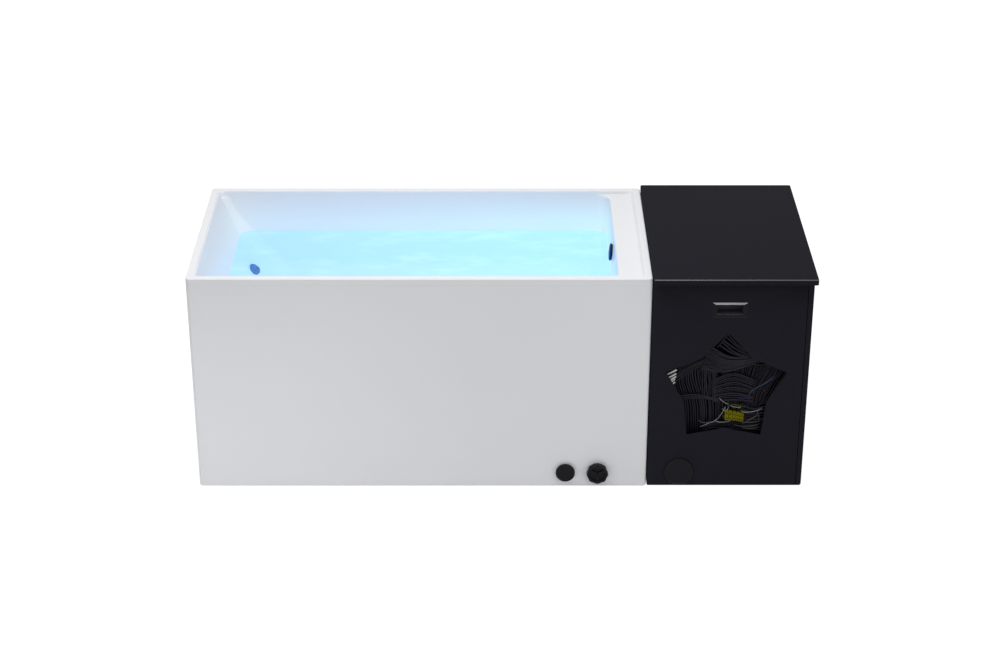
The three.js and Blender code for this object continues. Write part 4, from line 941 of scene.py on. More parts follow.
def make_jet_ring():
    profile = eased([
        (JET_SOCKET - JET_NECK, -JET_LENGTH),
        (JET_BARREL, -JET_LENGTH),
        (JET_BARREL, TOUCH),
        (JET_RADIUS, TOUCH),
        (JET_RADIUS, TOUCH + FLANGE),
        (JET_RADIUS - FLANGE, 2 * FLANGE),
        (JET_SOCKET, 2 * FLANGE),
        (JET_SOCKET, -JET_BALL),
        (JET_SOCKET - JET_NECK, -JET_BALL - JET_NECK),
    ], radius=1.0, closed=True)
    ring = turned("jet_ring", profile, JET_SEAT, JET_AXIS, NAVY_PLASTIC, closed=True)
    turn = UP.rotation_difference(JET_AXIS)
    cutters = []
    for i in range(JET_NOTCHES):
        angle = 2 * math.pi * (i + 0.5) / JET_NOTCHES
        out = turn @ Vector((math.cos(angle), math.sin(angle), 0))
        cutters.append(bore(JET_SEAT + out * JET_RADIUS * MM, JET_AXIS, NOTCH_RADIUS, NOTCH_CUT))
    return carve(ring, cutters)


def make_jet_ball():
    first = math.asin(BALL_BORE / JET_BALL)
    last = math.acos((FLANGE - BALL_LIP) / JET_BALL)
    profile = []
    for step in range(BALL_STEPS + 1):
        angle = first + (last - first) * step / BALL_STEPS
        profile.append((JET_BALL * math.sin(angle), FLANGE - JET_BALL * math.cos(angle)))
    profile += [(BALL_BORE + wider, BALL_LIP + out) for wider, out in LIP_ROUND]
    return turned("jet_ball", profile, JET_SEAT, JET_AXIS, NAVY_PLASTIC, closed=True)


jet_ring = show(make_jet_ring(), "root", "plastic_navy", "jet_body")
jet_ball = show(make_jet_ball(), "jet_eyeball", "plastic_navy", "jet_eyeball")
print("made", jet_ring.name, "and", jet_ball.name)

# %% [markdown]
# Low on the front are two black fittings. The right one is the drain valve's knob: eight soft
# lobes round a hollow. A turned piece would be round, so each ring of this loft swells and shrinks
# with a cosine, and the lobes fade towards the hollow.

# %% Drain knob
FITTING_FACE = 4.6
KNOB_RADIUS = 36
KNOB_REACH = 19
KNOB_LOBES = 8
LOBE_DEPTH = 2.6
LOBE_STEPS = 160
KNOB_GRIP = 10.5
KNOB_WELL = KNOB_RADIUS - KNOB_GRIP
KNOB_FLOOR = FITTING_FACE + KNOB_REACH * 0.55
KNOB_TOP = FITTING_FACE + KNOB_REACH


def on_knob(across, up, out):
    return spot(DRAIN_KNOB_X + across, -out, FRONT_FITTING_Z + up)


def lobed_ring(radius, height, depth):
    ring = []
    for i in range(LOBE_STEPS):
        angle = 2 * math.pi * i / LOBE_STEPS
        bulge = (1 + math.cos(KNOB_LOBES * angle)) / 2
        size = radius - depth * (1 - bulge)
        ring.append(on_knob(size * math.cos(angle), size * math.sin(angle), height))
    return ring


def make_knob():
    edge = KNOB_WELL + 1
    profile = eased([
        (0, FITTING_FACE),
        (KNOB_RADIUS, FITTING_FACE),
        (KNOB_RADIUS, KNOB_TOP),
        (edge, KNOB_TOP),
        (KNOB_WELL - 1, KNOB_FLOOR),
        (0, KNOB_FLOOR),
    ], radius=2.6)
    rings = []
    for radius, height in profile:
        lobes = LOBE_DEPTH * max(0.0, (radius - edge) / (KNOB_RADIUS - edge))
        rings.append(lobed_ring(max(radius, 0.01), height, lobes))
    return skin("knob_grip", rings, FITTING_BLACK)


knob = show(make_knob(), "drain_knob", "plastic_black", "drain_knob")
print("knob faces:", len(knob.data.polygons))

# %% [markdown]
# Three ribs cross the knob's hollow and meet in its middle, for fingers to push on. Each is a low
# loft with an eased top, laid at its own angle. Its lower ring sinks into the hollow's floor, so
# that no gap shows.

# %% Ribs of the knob
RIB_ANGLES = (30, 150, 270)
RIB_HALF = 4.5
RIB_CORNER = 1.5
RIB_SINK = 1
# The rib's edge from side to top: how far it draws in, and how far it lies under the top.
RIB_EDGE = ((0.3, 2.5), (0.9, 0.7), (2.2, 0))


def make_rib(number, degrees):
    turn = math.radians(degrees)

    def ring(shrink, out):
        def lie(along_rib, across):
            x = along_rib * math.cos(turn) - across * math.sin(turn)
            z = along_rib * math.sin(turn) + across * math.cos(turn)
            return on_knob(x, z, out)

        half = RIB_HALF - shrink
        return rounded_ring(-half, KNOB_WELL + 1, -half, half, RIB_CORNER, RIB_CORNER, lie, steps=4)

    rings = [ring(0, KNOB_FLOOR - RIB_SINK)]
    rings += [ring(shrink, KNOB_TOP - FLANGE - under) for shrink, under in RIB_EDGE]
    return skin(f"knob_rib_{number}", rings, FITTING_BLACK)


for number, degrees in enumerate(RIB_ANGLES):
    show(make_rib(number, degrees), "drain_knob", "plastic_black", "drain_knob")
print("ribs:", len(RIB_ANGLES))

# %% [markdown]
# The left fitting is a flat cap with a raised ring, which closes a spare port. It is round all
# over, so it is turned, and its corners are eased to catch a thin line of light.

# %% Port cap
CAP_RADIUS = 32
CAP_REACH = 10


def make_cap():
    face = FITTING_FACE + CAP_REACH
    profile = eased([
        (0, FITTING_FACE),
        (CAP_RADIUS, FITTING_FACE),
        (CAP_RADIUS, face - FLANGE / 2),
        (CAP_RADIUS - FLANGE / 2, face),
        (CAP_RADIUS - 2 * FLANGE, face),
        (CAP_RADIUS - 3 * FLANGE, face - FLANGE),
        (0, face - FLANGE),
    ], radius=1.2)
    return turned("cap_disc", profile, spot(PORT_X, 0, FRONT_FITTING_Z), FORWARD, FITTING_BLACK)


cap = show(make_cap(), "port_cap", "plastic_black", "port_cap")
print("cap faces:", len(cap.data.polygons))

# %% [markdown]
# The lid is a board with a soft upper edge. Its front edge reaches past the panel, and the round
# along it is what catches the long line of light. That line is a painted highlight: the faces of
# the round that look forward and up get a paler, glossier black.

# %% Lid
CABINET_LEFT = 1502
LID_RIGHT = 2028
LID_FRONT = -32
LID_BOTTOM = 762
LID_TOP = 782
LID_ROUND = 3.4
LID_FOOT = 1.5
LID_CORNER = 6
FACING = 0.30


def make_lid():
    def ring(inset, z):
        corner = LID_CORNER - min(inset, LID_CORNER - 1)
        return rounded_ring(
            CABINET_LEFT + inset, LID_RIGHT - inset, LID_FRONT + inset, TUB_DEPTH - inset,
            corner, corner, lambda x, y: spot(x, y, z), steps=8,
        )

    rings = [ring(LID_FOOT * rise, LID_BOTTOM + LID_FOOT * run) for rise, run in quarter(4)]
    rings += [ring(LID_ROUND * run, LID_TOP - LID_ROUND * rise) for rise, run in quarter(7)]
    return skin("lid_board", rings, LID_COAT)


def refinish(piece, material, chosen):
    piece.data.materials.append(material)
    index = len(piece.data.materials) - 1
    faces = [face for face in piece.data.polygons if chosen(face)]
    for face in faces:
        face.material_index = index
    return len(faces)


def faces_front_and_up(face):
    return face.normal.y < -FACING and face.normal.z > FACING


lid = show(make_lid(), "lid", "lid_board", "lid")
# The faces chosen here carry the painted highlight along the lid's front round.
print("lid faces:", len(lid.data.polygons), "polished:", refinish(lid, EDGE_PAINTED_HIGHLIGHT, faces_front_and_up))

# %% [markdown]
# The pull is a moulded frame that stands proud of the panel, with a cup behind its mouth for
# fingertips. It is one loft that goes from the bottom of the cup out over the lip, round the frame
# and back behind the panel. Each row below is one ring: half width, half height and depth.

# %% Flush pull
CABINET_FRONT = 2
PANEL_LEFT = 1502
PANEL_RIGHT = 2001
PANEL_MIDDLE = (PANEL_LEFT + PANEL_RIGHT) / 2
PULL_Z = 658
PULL_FACE = CABINET_FRONT - 6
PULL_CUP = CABINET_FRONT + 22
PULL_ROUND = 0.9
PULL_CORNER = 3.0
MOUTH_ROUND = 2.4
MOUTH_LIFT = 5
MOUTH_HALF = 45


def pull_ring(half_width, half_height, y):
    middle = PULL_Z + MOUTH_LIFT * (half_width < MOUTH_HALF)
    corner = min(PULL_CORNER, half_height - 0.5)
    return rounded_ring(
        PANEL_MIDDLE - half_width, PANEL_MIDDLE + half_width, middle - half_height, middle + half_height,
        corner, corner, lambda x, z: spot(x, y, z), steps=6,
    )


def make_pull():
    inside = eased([
        (39, 12, PULL_CUP),
        (41.5, 15.3, PULL_FACE + 3.5),
        (42, 15.8, PULL_FACE),
        (44.5, 17.8, PULL_FACE),
    ], MOUTH_ROUND)
    outside = eased([
        (44.5, 17.8, PULL_FACE),
        (57.5, 27.8, CABINET_FRONT - 0.6),
        (57.5, 27.8, CABINET_FRONT - TOUCH),
        (52.5, 25.5, CABINET_FRONT - TOUCH),
        (52.5, 25.5, CABINET_FRONT + 2),
        (43, 16.5, CABINET_FRONT + 4),
        (41, 14.5, PULL_CUP + 2),
    ], PULL_ROUND)
    return skin("pull_frame", [pull_ring(*row) for row in inside + outside], BLACK_PLASTIC)


pull = show(make_pull(), "front_panel", "plastic_black", "pull_cup")
print("pull faces:", len(pull.data.polygons))

# %% [markdown]
# The pull's bright marks are painted light. Its upper bevel faces the light and gets a pale, glossy
# finish, a painted highlight that draws the bright bar across it; the lower lip gets the paler edge
# finish, a painted highlight too; and the cup inside has a satin finish, paler than the frame, which
# paints light into the recess. Each of the three is chosen by where its faces lie and which way they look.

# %% Painted light on the pull
pull_middle = spot(0, 0, PULL_Z).z
lip_back = spot(0, CABINET_FRONT - 2, 0).y


def on_pull_bevel(face):
    return faces_front_and_up(face) and face.center.z > pull_middle


def in_pull_cup(face):
    return face.center.y > lip_back and face.normal.y < 0.1


def on_pull_lip(face):
    return face.normal.z > FACING and face.center.z < pull_middle and face.center.y < lip_back


# Painted highlight on the upper bevel.
bevel = refinish(pull, PULL_PAINTED_HIGHLIGHT, on_pull_bevel)
# Painted light in the cup.
cup = refinish(pull, CUP_SATIN_PAINTED_LIGHT, in_pull_cup)
# Painted highlight on the pull's lower lip.
lip = refinish(pull, EDGE_PAINTED_HIGHLIGHT, on_pull_lip)
print("faces on the bevel:", bevel, "in the cup:", cup, "on the lip:", lip)

# %% [markdown]
# A round cover closes the service port low on the panel: a raised ring round a slightly domed
# middle, turned with eased corners.

# %% Port cover
COVER_RADIUS = 49
COVER_PROUD = 6
COVER_RING = 7
COVER_BARREL = 40
COVER_DEPTH = 6
COVER_PLACE = spot(CABINET_LEFT + 106, CABINET_FRONT, 57)


def make_port_cover():
    dip = COVER_PROUD - FLANGE
    profile = eased([
        (0, -COVER_DEPTH),
        (COVER_BARREL, -COVER_DEPTH),
        (COVER_BARREL, TOUCH),
        (COVER_RADIUS, TOUCH),
        (COVER_RADIUS, dip),
        (COVER_RADIUS - FLANGE, COVER_PROUD),
        (COVER_RADIUS - COVER_RING, COVER_PROUD),
        (COVER_RADIUS - COVER_RING - FLANGE, dip),
        (COVER_RADIUS - 3 * COVER_RING, dip),
        (0, dip + FLANGE / 2),
    ], radius=1.4)
    return turned("port_disc", profile, COVER_PLACE, FORWARD, BLACK_PLASTIC, sides=80)


port_disc = show(make_port_cover(), "front_panel", "plastic_black", "port_cover")
print("port cover faces:", len(port_disc.data.polygons))

# %% [markdown]
# The louvred back is a sheet with screws along both edges, and above it more screws hold one leaf
# of the lid's hinge. A pan head is a low turned dome. Two thin bars cut the cross for the driver,
# and all the heads are joined into one piece, because no one needs them one by one.

# %% Screws
BACKWARD = Vector((0, 1, 0))
SCREW_RADIUS = 3.8
SCREW_HEIGHT = 1.6
CROSS_HALF = 0.5
CROSS_REACH = 2.3
SCREW_EDGE = 14
CABINET_RIGHT = 2020
BACK_FACE = 738
BACK_ROWS = (40, 250, 460, 670)
LEAF_FACE = 740.3
LEAF_Z = 735
LEAF_COLUMNS = (1568, 1645, 1722, 1800, 1877, 1954)


def screw_head(x, y, z):
    profile = eased([
        (0, 0),
        (SCREW_RADIUS, 0),
        (SCREW_RADIUS * 0.9, SCREW_HEIGHT * 0.7),
        (SCREW_RADIUS * 0.5, SCREW_HEIGHT),
        (0, SCREW_HEIGHT),
    ], radius=0.7)
    head = turned("screw", profile, spot(x, y, z), BACKWARD, ZINC, sides=24)
    bars = []
    for across, up in ((CROSS_REACH, CROSS_HALF), (CROSS_HALF, CROSS_REACH)):
        low = spot(x - across, y + SCREW_HEIGHT / 2, z - up)
        high = spot(x + across, y + SCREW_HEIGHT * 2, z + up)
        bars.append(box("bar", low, high, ZINC))
    return carve(head, bars)


def join_pieces(pieces, name):
    shape = bmesh.new()
    for piece in pieces:
        shape.from_mesh(piece.data)
    mesh = bpy.data.meshes.new(name)
    shape.to_mesh(mesh)
    shape.free()
    material = pieces[0].data.materials[0]
    for piece in pieces:
        bpy.data.objects.remove(piece)
    return finish_mesh(name, mesh, material)


heads = [screw_head(x, LEAF_FACE, LEAF_Z) for x in LEAF_COLUMNS]
for x in (CABINET_LEFT + SCREW_EDGE, CABINET_RIGHT - SCREW_EDGE):
    heads += [screw_head(x, BACK_FACE, z) for z in BACK_ROWS]
show(join_pieces(heads, "back_screws"), "root", "steel")
print("screw heads:", len(heads))

# %% [markdown]
# Behind the star lies the wiring. A cable is a line with thickness, so a curve with a round bevel
# suits it better than a mesh made by hand. A guide is a short row of points on the wiring plate,
# seen from the front, and along() runs a smooth line through them.

# %% Cable curves
STAR_Z = 366.64
PLATE_Y = 46
LAYER = 9.3


def behind_star(u, w, y):
    return spot(PANEL_MIDDLE + u, y, STAR_Z + w)


def layer_y(layer):
    return PLATE_Y - TOUCH - layer * LAYER


def along(guide, t):
    points = [Vector(point) for point in guide]
    reach = t * (len(points) - 1)
    i = min(int(reach), len(points) - 2)
    f = reach - i
    before = points[max(i - 1, 0)]
    a = points[i]
    b = points[i + 1]
    after = points[min(i + 2, len(points) - 1)]
    curve = 2 * a + (b - before) * f
    curve += (2 * before - 5 * a + 4 * b - after) * f * f
    curve += (3 * a - before - 3 * b + after) * f ** 3
    return curve / 2


def cable_row(name, colour, routes, *replaced):
    data = bpy.data.curves.new(name, "CURVE")
    data.dimensions = "3D"
    data.bevel_depth = MM
    data.bevel_resolution = 3
    data.use_fill_caps = True
    for points, radius in routes:
        line = data.splines.new("NURBS")
        line.points.add(len(points) - 1)
        for place, point in zip(line.points, points):
            place.co = (*point, 1.0)
            place.radius = radius
        line.order_u = 4
        line.use_endpoint_u = True
        line.resolution_u = 4
    data.materials.append(SHEATHS[colour])
    return show(add_object(name, data), "root", "cable_black", *replaced)


print("layers of cable stand at", [round(layer_y(layer), 1) for layer in range(3)])

# %% [markdown]
# In the solid model each bundle is a ribbed band between two guide lines. The same guides are
# listed here, and each list has the name of the solid that it stands for. A bundle may have
# several families of cable, one over another.

# %% Guides of the bundles
# Each family: two guide lines, how many cables between them, the layer, and the range of radii.
FAMILIES = {
    "loom_lower_left": [
        (
            [(-140, -195), (-146, -70), (-172, 5), (-150, 62)],
            [(4, -195), (0, -70), (-22, 40), (-48, 112)],
            19, 0.0, (2.4, 3.1),
        ),
        ([(-74, -46), (-77, 10), (-80, 72)], [(-28, -46), (-30, 10), (-40, 74)], 7, 0.9, (2.0, 2.6)),
        ([(-155, -56), (-90, -48), (-16, -62)], [(-155, -36), (-90, -30), (-18, -44)], 3, 1.0, (2.2, 2.8)),
    ],
    "loom_right_fan": [
        (
            [(8, -195), (6, -60), (-8, 20), (-26, 78)],
            [(120, -195), (128, -40), (170, 18), (214, 74)],
            34, 0.0, (1.6, 2.2),
        ),
        ([(118, -66), (140, 0), (168, 76)], [(142, -66), (176, 0), (212, 66)], 4, 0.9, (1.9, 2.5)),
        ([(-38, -60), (28, -56), (92, -60)], [(-44, 20), (30, 50), (100, 20)], 13, 0.9, (2.2, 3.0)),
    ],
    "loom_left_branch": [
        ([(-168, 8), (-122, 50), (-74, 80)], [(-166, 76), (-114, 100), (-66, 122)], 6, 1.6, (2.0, 2.5)),
    ],
    "loom_lower_right": [
        ([(2, -166), (66, -170), (150, -176)], [(62, -64), (100, -82), (150, -66)], 9, 1.0, (2.0, 2.7)),
        ([(-70, -172), (-30, -160), (30, -168)], [(-60, -140), (-20, -132), (30, -134)], 4, 1.1, (2.2, 2.8)),
    ],
    "loom_top_sweep": [
        ([(-30, 152), (14, 122), (70, 108)], [(10, 210), (46, 164), (96, 118)], 6, 1.9, (2.4, 3.0)),
        ([(-84, 62), (0, 50), (116, 92)], [(-50, 152), (16, 112), (118, 112)], 13, 1.2, (2.4, 3.2)),
    ],
}
print("families of cable:", sum(len(families) for families in FAMILIES.values()))

# %% [markdown]
# Every cable of a bundle is a tube of its own: it runs between the two guides, wanders a little,
# and lies over or under its neighbours. Copies of one cable would look combed, so each gets its
# own thickness, swing and lift. The draws are seeded: the wiring is the same on every run.

# %% Cable bundles
CABLE_STATIONS = 11
CABLE_WANDER = 2.2
CABLE_WEAVE = 1.2
WANDER_TURNS = 5.0
WEAVE_TURNS = 3.1
WANDER_SLANT = 0.6
draw = random.Random(41)


def bundle_routes(low, high, count, layer, thick):
    routes = []
    for k in range(count):
        share = (k + 0.5) / count
        radius = draw.uniform(*thick)
        swing = draw.uniform(-CABLE_WANDER, CABLE_WANDER)
        phase = draw.uniform(0, 2 * math.pi)
        lift = draw.uniform(radius, 2 * LAYER - radius) / 2
        points = []
        for s in range(CABLE_STATIONS):
            t = s / (CABLE_STATIONS - 1)
            across = along(low, t).lerp(along(high, t), share)
            drift = swing * math.sin(phase + t * WANDER_TURNS)
            over = lift + CABLE_WEAVE * math.sin(phase + WEAVE_TURNS * t)
            y = layer_y(layer) - max(radius, over)
            points.append(behind_star(across.x + drift, across.y + drift * WANDER_SLANT, y))
        routes.append((points, radius))
    return routes


cables = {}
for node, families in FAMILIES.items():
    cables[node] = []
    for family in families:
        cables[node] += bundle_routes(*family)
    cable_row(node.replace("loom", "cables"), "black", cables[node], node)
print("cables:", sum(len(routes) for routes in cables.values()))

# %% [markdown]
# A cable never just stops. Each bundle ends in a clip strip, a slim moulded bar across its
# cables, as on a machine's wiring plate. The bar is a rounded section carried from the first
# cable to the last, so that it stands square to the bundle whatever its slant. One end of the
# left branch has none, because white sleeves hold it.

# %% Clip strips
CLIP_HALF = 2.2
CLIP_DEPTH = 10
CLIP_OVER = 4
CLIP_EASE = 0.8
CLIP_CORNER = 0.9


def clip_strip(first, last, layer):
    first = Vector(first)
    last = Vector(last)
    run = (last - first).normalized()
    aside = Vector((-run.y, run.x))

    def ring(inset, middle):
        def place(across, depth):
            point = middle + aside * across
            return behind_star(point.x, point.y, layer_y(layer) - depth)

        half = CLIP_HALF - inset
        return rounded_ring(-half, half, inset, CLIP_DEPTH - inset, CLIP_CORNER, CLIP_CORNER, place, steps=3)

    start = first - run * CLIP_OVER
    end = last + run * CLIP_OVER
    ease = run * CLIP_EASE
    rings = [ring(CLIP_EASE, start), ring(0, start + ease), ring(0, end - ease), ring(CLIP_EASE, end)]
    return skin("clip", rings, FITTING_BLACK)


clips = []
for node, families in FAMILIES.items():
    for low, high, _, layer, _ in families:
        clips.append(clip_strip(low[-1], high[-1], layer))
        if node != "loom_left_branch":
            clips.append(clip_strip(low[0], high[0], layer))
show(join_pieces(clips, "cable_clips"), "root", "plastic_black")
print("clip strips:", len(clips))

# %% [markdown]
# A few thin wires in other colours lie over the black ones: white leads to the terminals, a pale
# blue one up to the right, and short blue, violet and red tails. Each is one listed line,
# and both its ends dip between the black cables, so that none of them just stops in the air.

# %% Coloured wires
COLOURED = {
    "white": [
        [(-76, -153), (-48, -134), (-25, -124), (-6, -96), (4, -78)],
        [(-28, -129), (-4, -131), (26, -127)],
        [(-16, -44), (-4, -54), (14, -66)],
        [(-6, -84), (6, -88), (16, -76)],
        [(22, -73), (40, -74), (56, -79)],
        [(56, -92), (88, -93), (128, -81)],
    ],
    "grey": [
        [(-82, -128), (-66, -134), (-46, -131)],
        [(110, -92), (116, -104), (117, -122)],
        [(64, -140), (86, -122), (112, -108)],
        [(42, -127), (80, -133), (124, -129)],
        [(34, -143), (76, -147), (122, -142)],
        [(58, -152), (88, -155), (120, -153)],
    ],
    "olive": [
        [(2, -80), (14, -98), (8, -118)],
        [(30, -82), (52, -72), (70, -78)],
        [(-4, -112), (24, -122), (52, -116)],
        [(44, -98), (58, -110), (66, -116)],
        [(10, -70), (34, -66), (58, -70)],
    ],
    "sky": [[(78, -40), (84, -20), (104, -2), (132, 14), (164, 34)]],
    "violet": [[(44, -46), (66, -42), (90, -48)], [(132, 14), (150, 32), (168, 46)]],
    "blue": [
        [(-16, -157), (10, -158), (40, -152)],
        [(-70, 104), (-52, 82), (-26, 64)],
        [(-64, 88), (-40, 66), (-10, 62)],
    ],
    "red": [[(86, -44), (92, -38), (100, -36)], [(128, -8), (131, -14), (132, -22)]],
}
WIRE_LAYER = {
    "white": 2.75, "grey": 2.65, "olive": 2.6, "sky": 2.5, "violet": 2.3, "blue": 2.2, "red": 2.3,
}
WIRE_STEPS = 8
WIRE_DIP = 9
WIRE_SHAKE = 0.4
WIRE_RADII = (0.75, 1.2)


def wire_routes(colour, lines):
    routes = []
    for line in lines:
        points = []
        for s in range(WIRE_STEPS + 1):
            place = along(line, s / WIRE_STEPS)
            dip = WIRE_DIP * (2 * s / WIRE_STEPS - 1) ** 6
            y = layer_y(WIRE_LAYER[colour]) + dip + draw.uniform(-WIRE_SHAKE, WIRE_SHAKE)
            points.append(behind_star(place.x, place.y, y))
        routes.append((points, draw.uniform(*WIRE_RADII)))
    return routes


for colour, lines in COLOURED.items():
    cable_row(f"wires_{colour}", colour, wire_routes(colour, lines))
print("coloured wires:", sum(len(lines) for lines in COLOURED.values()))

# %% [markdown]
# White sleeves hold the cables at the left tip: soft plastic tubes with ribs, one beside another.
# Each is turned round the first stretch of its own cable and laps over it, so that the cable seems
# to come out of the sleeve. The ribs are steps in the profile.

# %% White sleeves
SLEEVE_RADIUS = 3.0
SLEEVE_NECK = SLEEVE_RADIUS * 0.84
SLEEVE_LENGTH = 40
SLEEVE_LAP = 4
SLEEVE_RIBS = 7
RIB_SHARE = 0.72
RIB_EASE = 0.5


def sleeve_profile():
    profile = [(0.0, 0.0)]
    for k in range(SLEEVE_RIBS):
        start = SLEEVE_LENGTH * k / SLEEVE_RIBS
        end = SLEEVE_LENGTH * (k + RIB_SHARE) / SLEEVE_RIBS
        profile += [(SLEEVE_NECK, start), (SLEEVE_RADIUS, start + RIB_EASE)]
        profile += [(SLEEVE_RADIUS, end - RIB_EASE), (SLEEVE_NECK, end)]
    return profile + [(0.0, SLEEVE_LENGTH)]


def make_sleeves():
    tubes = []
    for points, _ in cables["loom_left_branch"]:
        axis = (points[0] - points[1]).normalized()
        start = points[0] - axis * SLEEVE_LAP * MM
        tubes.append(turned("sleeve", sleeve_profile(), start, axis, CONNECTOR_WHITE, sides=20))
    return join_pieces(tubes, "wire_sleeves")


show(make_sleeves(), "root", "connector_white", "wire_connector")
print("sleeves:", len(cables["loom_left_branch"]))

# %% [markdown]
# The yellow block is a row of five terminals. Each is a small moulded box with an eased front and
# two round wells, one for its screw and one for its wire. The row leans a little, and every box
# sits slightly askew, as they do on a rail that was filled by hand.

# %% Terminal row
TERMINAL_COUNT = 5
TERMINAL_PITCH = 12.6
TERMINAL_GAP = 1.2
TERMINAL_LEFT = 3
TERMINAL_LOW = -120
TERMINAL_HIGH = -87
TERMINAL_LEAN = -2.4
TERMINAL_SHAKE = 1.0
TERMINAL_FACE = layer_y(3.6)
TERMINAL_BACK = layer_y(2.1)
TERMINAL_EASE = 0.9
TERMINAL_CORNER = 1.2
WELL_INSET = 7
WELL_RADIUS = 3.0
WELL_DEPTH = 5


def make_terminal(left, low, high):
    right = left + TERMINAL_PITCH - TERMINAL_GAP

    def ring(shrink, y):
        return rounded_ring(
            left + shrink, right - shrink, low + shrink, high - shrink, TERMINAL_CORNER, TERMINAL_CORNER,
            lambda across, up: behind_star(across, up, y), steps=3,
        )

    front = ring(TERMINAL_EASE, TERMINAL_FACE)
    rings = [front, ring(0, TERMINAL_FACE + TERMINAL_EASE), ring(0, TERMINAL_BACK)]
    block = skin("terminal", rings, TERMINAL_YELLOW)
    wells = []
    for up in (low + WELL_INSET, high - WELL_INSET):
        middle = behind_star((left + right) / 2, up, TERMINAL_FACE)
        wells.append(bore(middle, FORWARD, WELL_RADIUS, WELL_DEPTH))
    return carve(block, wells)


blocks = []
for k in range(TERMINAL_COUNT):
    drop = TERMINAL_LEAN * k + draw.uniform(-TERMINAL_SHAKE, TERMINAL_SHAKE)
    left = TERMINAL_LEFT + TERMINAL_PITCH * k
    blocks.append(make_terminal(left, TERMINAL_LOW + drop / 3, TERMINAL_HIGH + drop))
show(join_pieces(blocks, "terminal_row"), "root", "terminal_yellow", "terminal_block")
print("terminals:", TERMINAL_COUNT)

# %% [markdown]
# The pieces that keep their solid shape still need worn edges and a finish. Each gets three
# modifiers, which leave its own mesh alone: one welds split points, one joins flat triangles, and
# one rounds the edges. The hinge's leaves are too thin for a round, so they stay as they are.

# %% Finishes for the solid pieces
SOLID_WELD = 1e-6
FLAT_ANGLE = math.radians(1)
ROUND_ANGLE = math.radians(32)
EDGE_ROUND = 0.0007
THIN_PIECES = ("lid_hinge_fixed", "lid_hinge_moving")
DRESS = {
    COAT: "cabinet_base cabinet_left_side cabinet_right_side cabinet_back front_rail front_panel",
    # The loom plate is painted near-black: painted shade in the gaps between the cables.
    PLATE_PAINTED_SHADE: "loom_plate",
    BLACK_PLASTIC: "overflow_body jet_nut floor_drain_body floor_drain_nut drain_outlet_body port_body "
    "panel_magnet_left panel_magnet_right power_gland control_box filter_housing pump fan_frame fan_rotor",
    NAVY_PLASTIC: "filter_cap",
    PALE_HOSE: "drain_hose overflow_hose suction_hose feed_hose return_hose heat_exchanger",
    RUBBER: "tub_foot_front_left tub_foot_back_left tub_foot_front_right tub_foot_back_right",
    ZINC: "cross_rail_left cross_rail_right floor_drain_grille lid_hinge_pin "
    "lid_hinge_fixed lid_hinge_moving",
    FINS: "condenser",
    COPPER: "discharge_line vapour_line liquid_line",
    SHELL_PAINT: "compressor",
}


def dress(node, material):
    piece = nodes[node]
    piece.data.materials.clear()
    piece.data.materials.append(material)
    weld = piece.modifiers.new("weld", "WELD")
    weld.merge_threshold = SOLID_WELD
    flat = piece.modifiers.new("flat", "DECIMATE")
    flat.decimate_type = "DISSOLVE"
    flat.angle_limit = FLAT_ANGLE
    if node in THIN_PIECES:
        return
    piece.data.shade_smooth()
    soft = piece.modifiers.new("soft", "BEVEL")
    soft.width = EDGE_ROUND
    soft.segments = 2
    soft.limit_method = "ANGLE"
    soft.angle_limit = ROUND_ANGLE
    soft.harden_normals = True


for material, names in DRESS.items():
    for node in names.split():
        dress(node, material)
print("dressed:", sum(len(names.split()) for names in DRESS.values()))

# %% [markdown]
# A plain studio has a pale floor and a soft even sky. Both show as white to the camera and in
# mirrors and glass, while the light that they throw on the tub stays at a plain level. The floor
# keeps a share of its own paint, so that the tub's shadow still shows on it.

# %% Floor and sky
WHITE = (1, 1, 1)
FLOOR_SIZE = 30.0
FLOOR_DROP = 0.0005
FLOOR_PAINT = (0.58, 0.58, 0.58)
FLOOR_SHOWN = 0.22
FLOOR_GLOW = 1.25
SKY_LOW = 0.05
SKY_HIGH = 0.80


def white_rays(net):
    paths = net.node("ShaderNodeLightPath", output="Is Camera Ray")
    return paths.larger(paths.other("Is Transmission Ray")).larger(paths.other("Is Glossy Ray"))


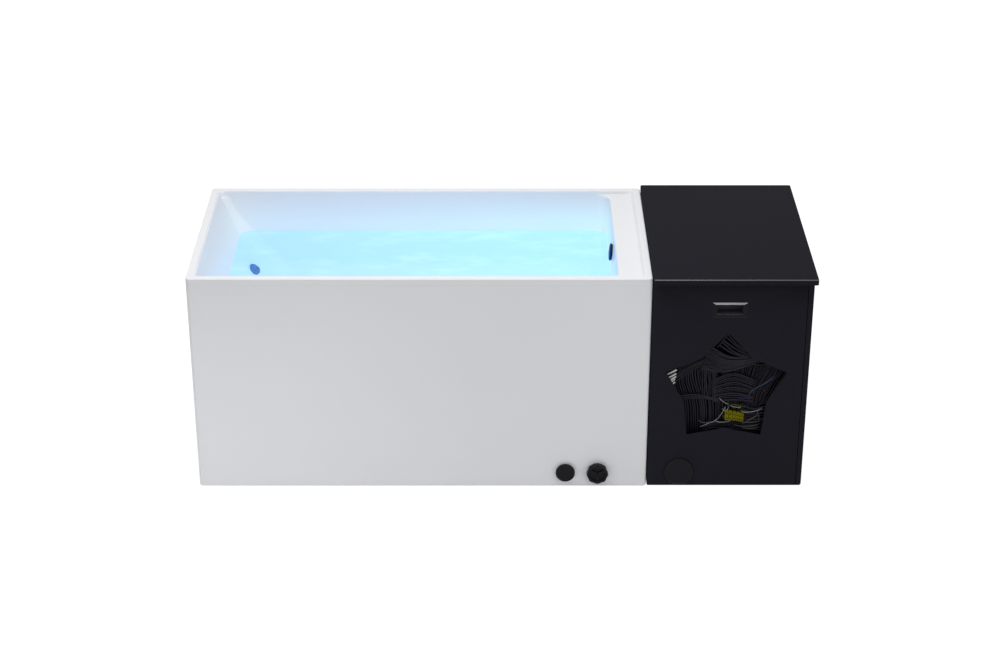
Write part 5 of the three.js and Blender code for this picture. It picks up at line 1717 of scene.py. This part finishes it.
def make_floor():
    mesh = bpy.data.meshes.new("studio_floor")
    half = FLOOR_SIZE / 2
    corners = [(-half, -half, 0), (half, -half, 0), (half, half, 0), (-half, half, 0)]
    mesh.from_pydata(corners, [], [(0, 1, 2, 3)])
    floor = add_object("studio_floor", mesh)
    floor.location.z = -FLOOR_DROP
    finish = Finish("studio_floor", {"Base Color": FLOOR_PAINT, "Roughness": 0.9})
    paint = Wire(finish, finish.shader.outputs[0])
    white = finish.node("ShaderNodeEmission", {}, {"Color": WHITE, "Strength": FLOOR_GLOW})
    share = white_rays(finish) * (1 - FLOOR_SHOWN)
    mixed = finish.node("ShaderNodeMixShader", {}, {0: share, 1: paint, 2: white})
    finish.join(mixed, finish.tree.nodes["Material Output"].inputs["Surface"])
    mesh.materials.append(finish.material)
    floor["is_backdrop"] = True


def make_sky():
    world = bpy.data.worlds.new("studio_sky")
    world.use_nodes = True
    bpy.context.scene.world = world
    sky = Net(world.node_tree)
    direction = sky.node("ShaderNodeTexCoord", output="Generated")
    height = sky.node("ShaderNodeSeparateXYZ", {}, {"Vector": direction}, output="Z")
    daylight = SKY_LOW + (SKY_HIGH - SKY_LOW) * height.clamped()
    back = world.node_tree.nodes["Background"]
    sky.join(WHITE, back.inputs["Color"])
    sky.join(daylight + white_rays(sky) * (1 - daylight), back.inputs["Strength"])


make_floor()
make_sky()
bpy.context.scene.view_settings.view_transform = "Standard"
print("sky strength from", SKY_LOW, "at the horizon to", SKY_HIGH, "overhead")

# %% [markdown]
# Five lamps add form: a large one above, a low strip at the tub's left front, one at the cabinet's
# side, a small fill for the tub's right end and a wide one behind. Only the first and the third
# show in gloss, because a lamp close to a white wall would draw a hard bright patch on it.

# %% Lamps
# Each lamp: power, width and height, place, and the point that it faces.
LAMPS = {
    "top_lamp": (41.0, (2.8, 1.5), (-0.45, -0.8, 3.2), (-0.4, 0.0, 0.6)),
    "front_lamp": (2.9, (1.6, 0.2), (-1.10, -1.3, 0.10), (-0.80, 0.0, 0.05)),
    "side_lamp": (9.0, (1.0, 1.6), (2.4, -2.6, 0.9), (0.5, 0.0, 0.4)),
    "fill_lamp": (0.6, (0.4, 0.5), (0.62, -1.2, 0.45), (0.45, 0.0, 0.4)),
    "back_lamp": (12.0, (2.6, 0.9), (-0.2, 3.0, 0.55), (0.0, 0.0, 0.35)),
}
MIRRORED_LAMPS = ("top_lamp", "side_lamp")


def make_lamp(name, power, size, place, target):
    data = bpy.data.lights.new(name, "AREA")
    data.energy = power
    data.shape = "RECTANGLE"
    data.size, data.size_y = size
    lamp = add_object(name, data)
    lamp.location = place
    lamp.visible_camera = False
    lamp.visible_glossy = name in MIRRORED_LAMPS
    lamp.rotation_euler = (Vector(target) - Vector(place)).to_track_quat("-Z", "Y").to_euler()


for name, settings in LAMPS.items():
    make_lamp(name, *settings)
print("lamps:", len(LAMPS))

# %% Sizes and finish
shown_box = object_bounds()
sizes = {
    "cad": [list(corner) for corner in solid_box],
    "visual": [list(corner) for corner in shown_box],
}
print("solid", sizes["cad"], "shown", sizes["visual"])
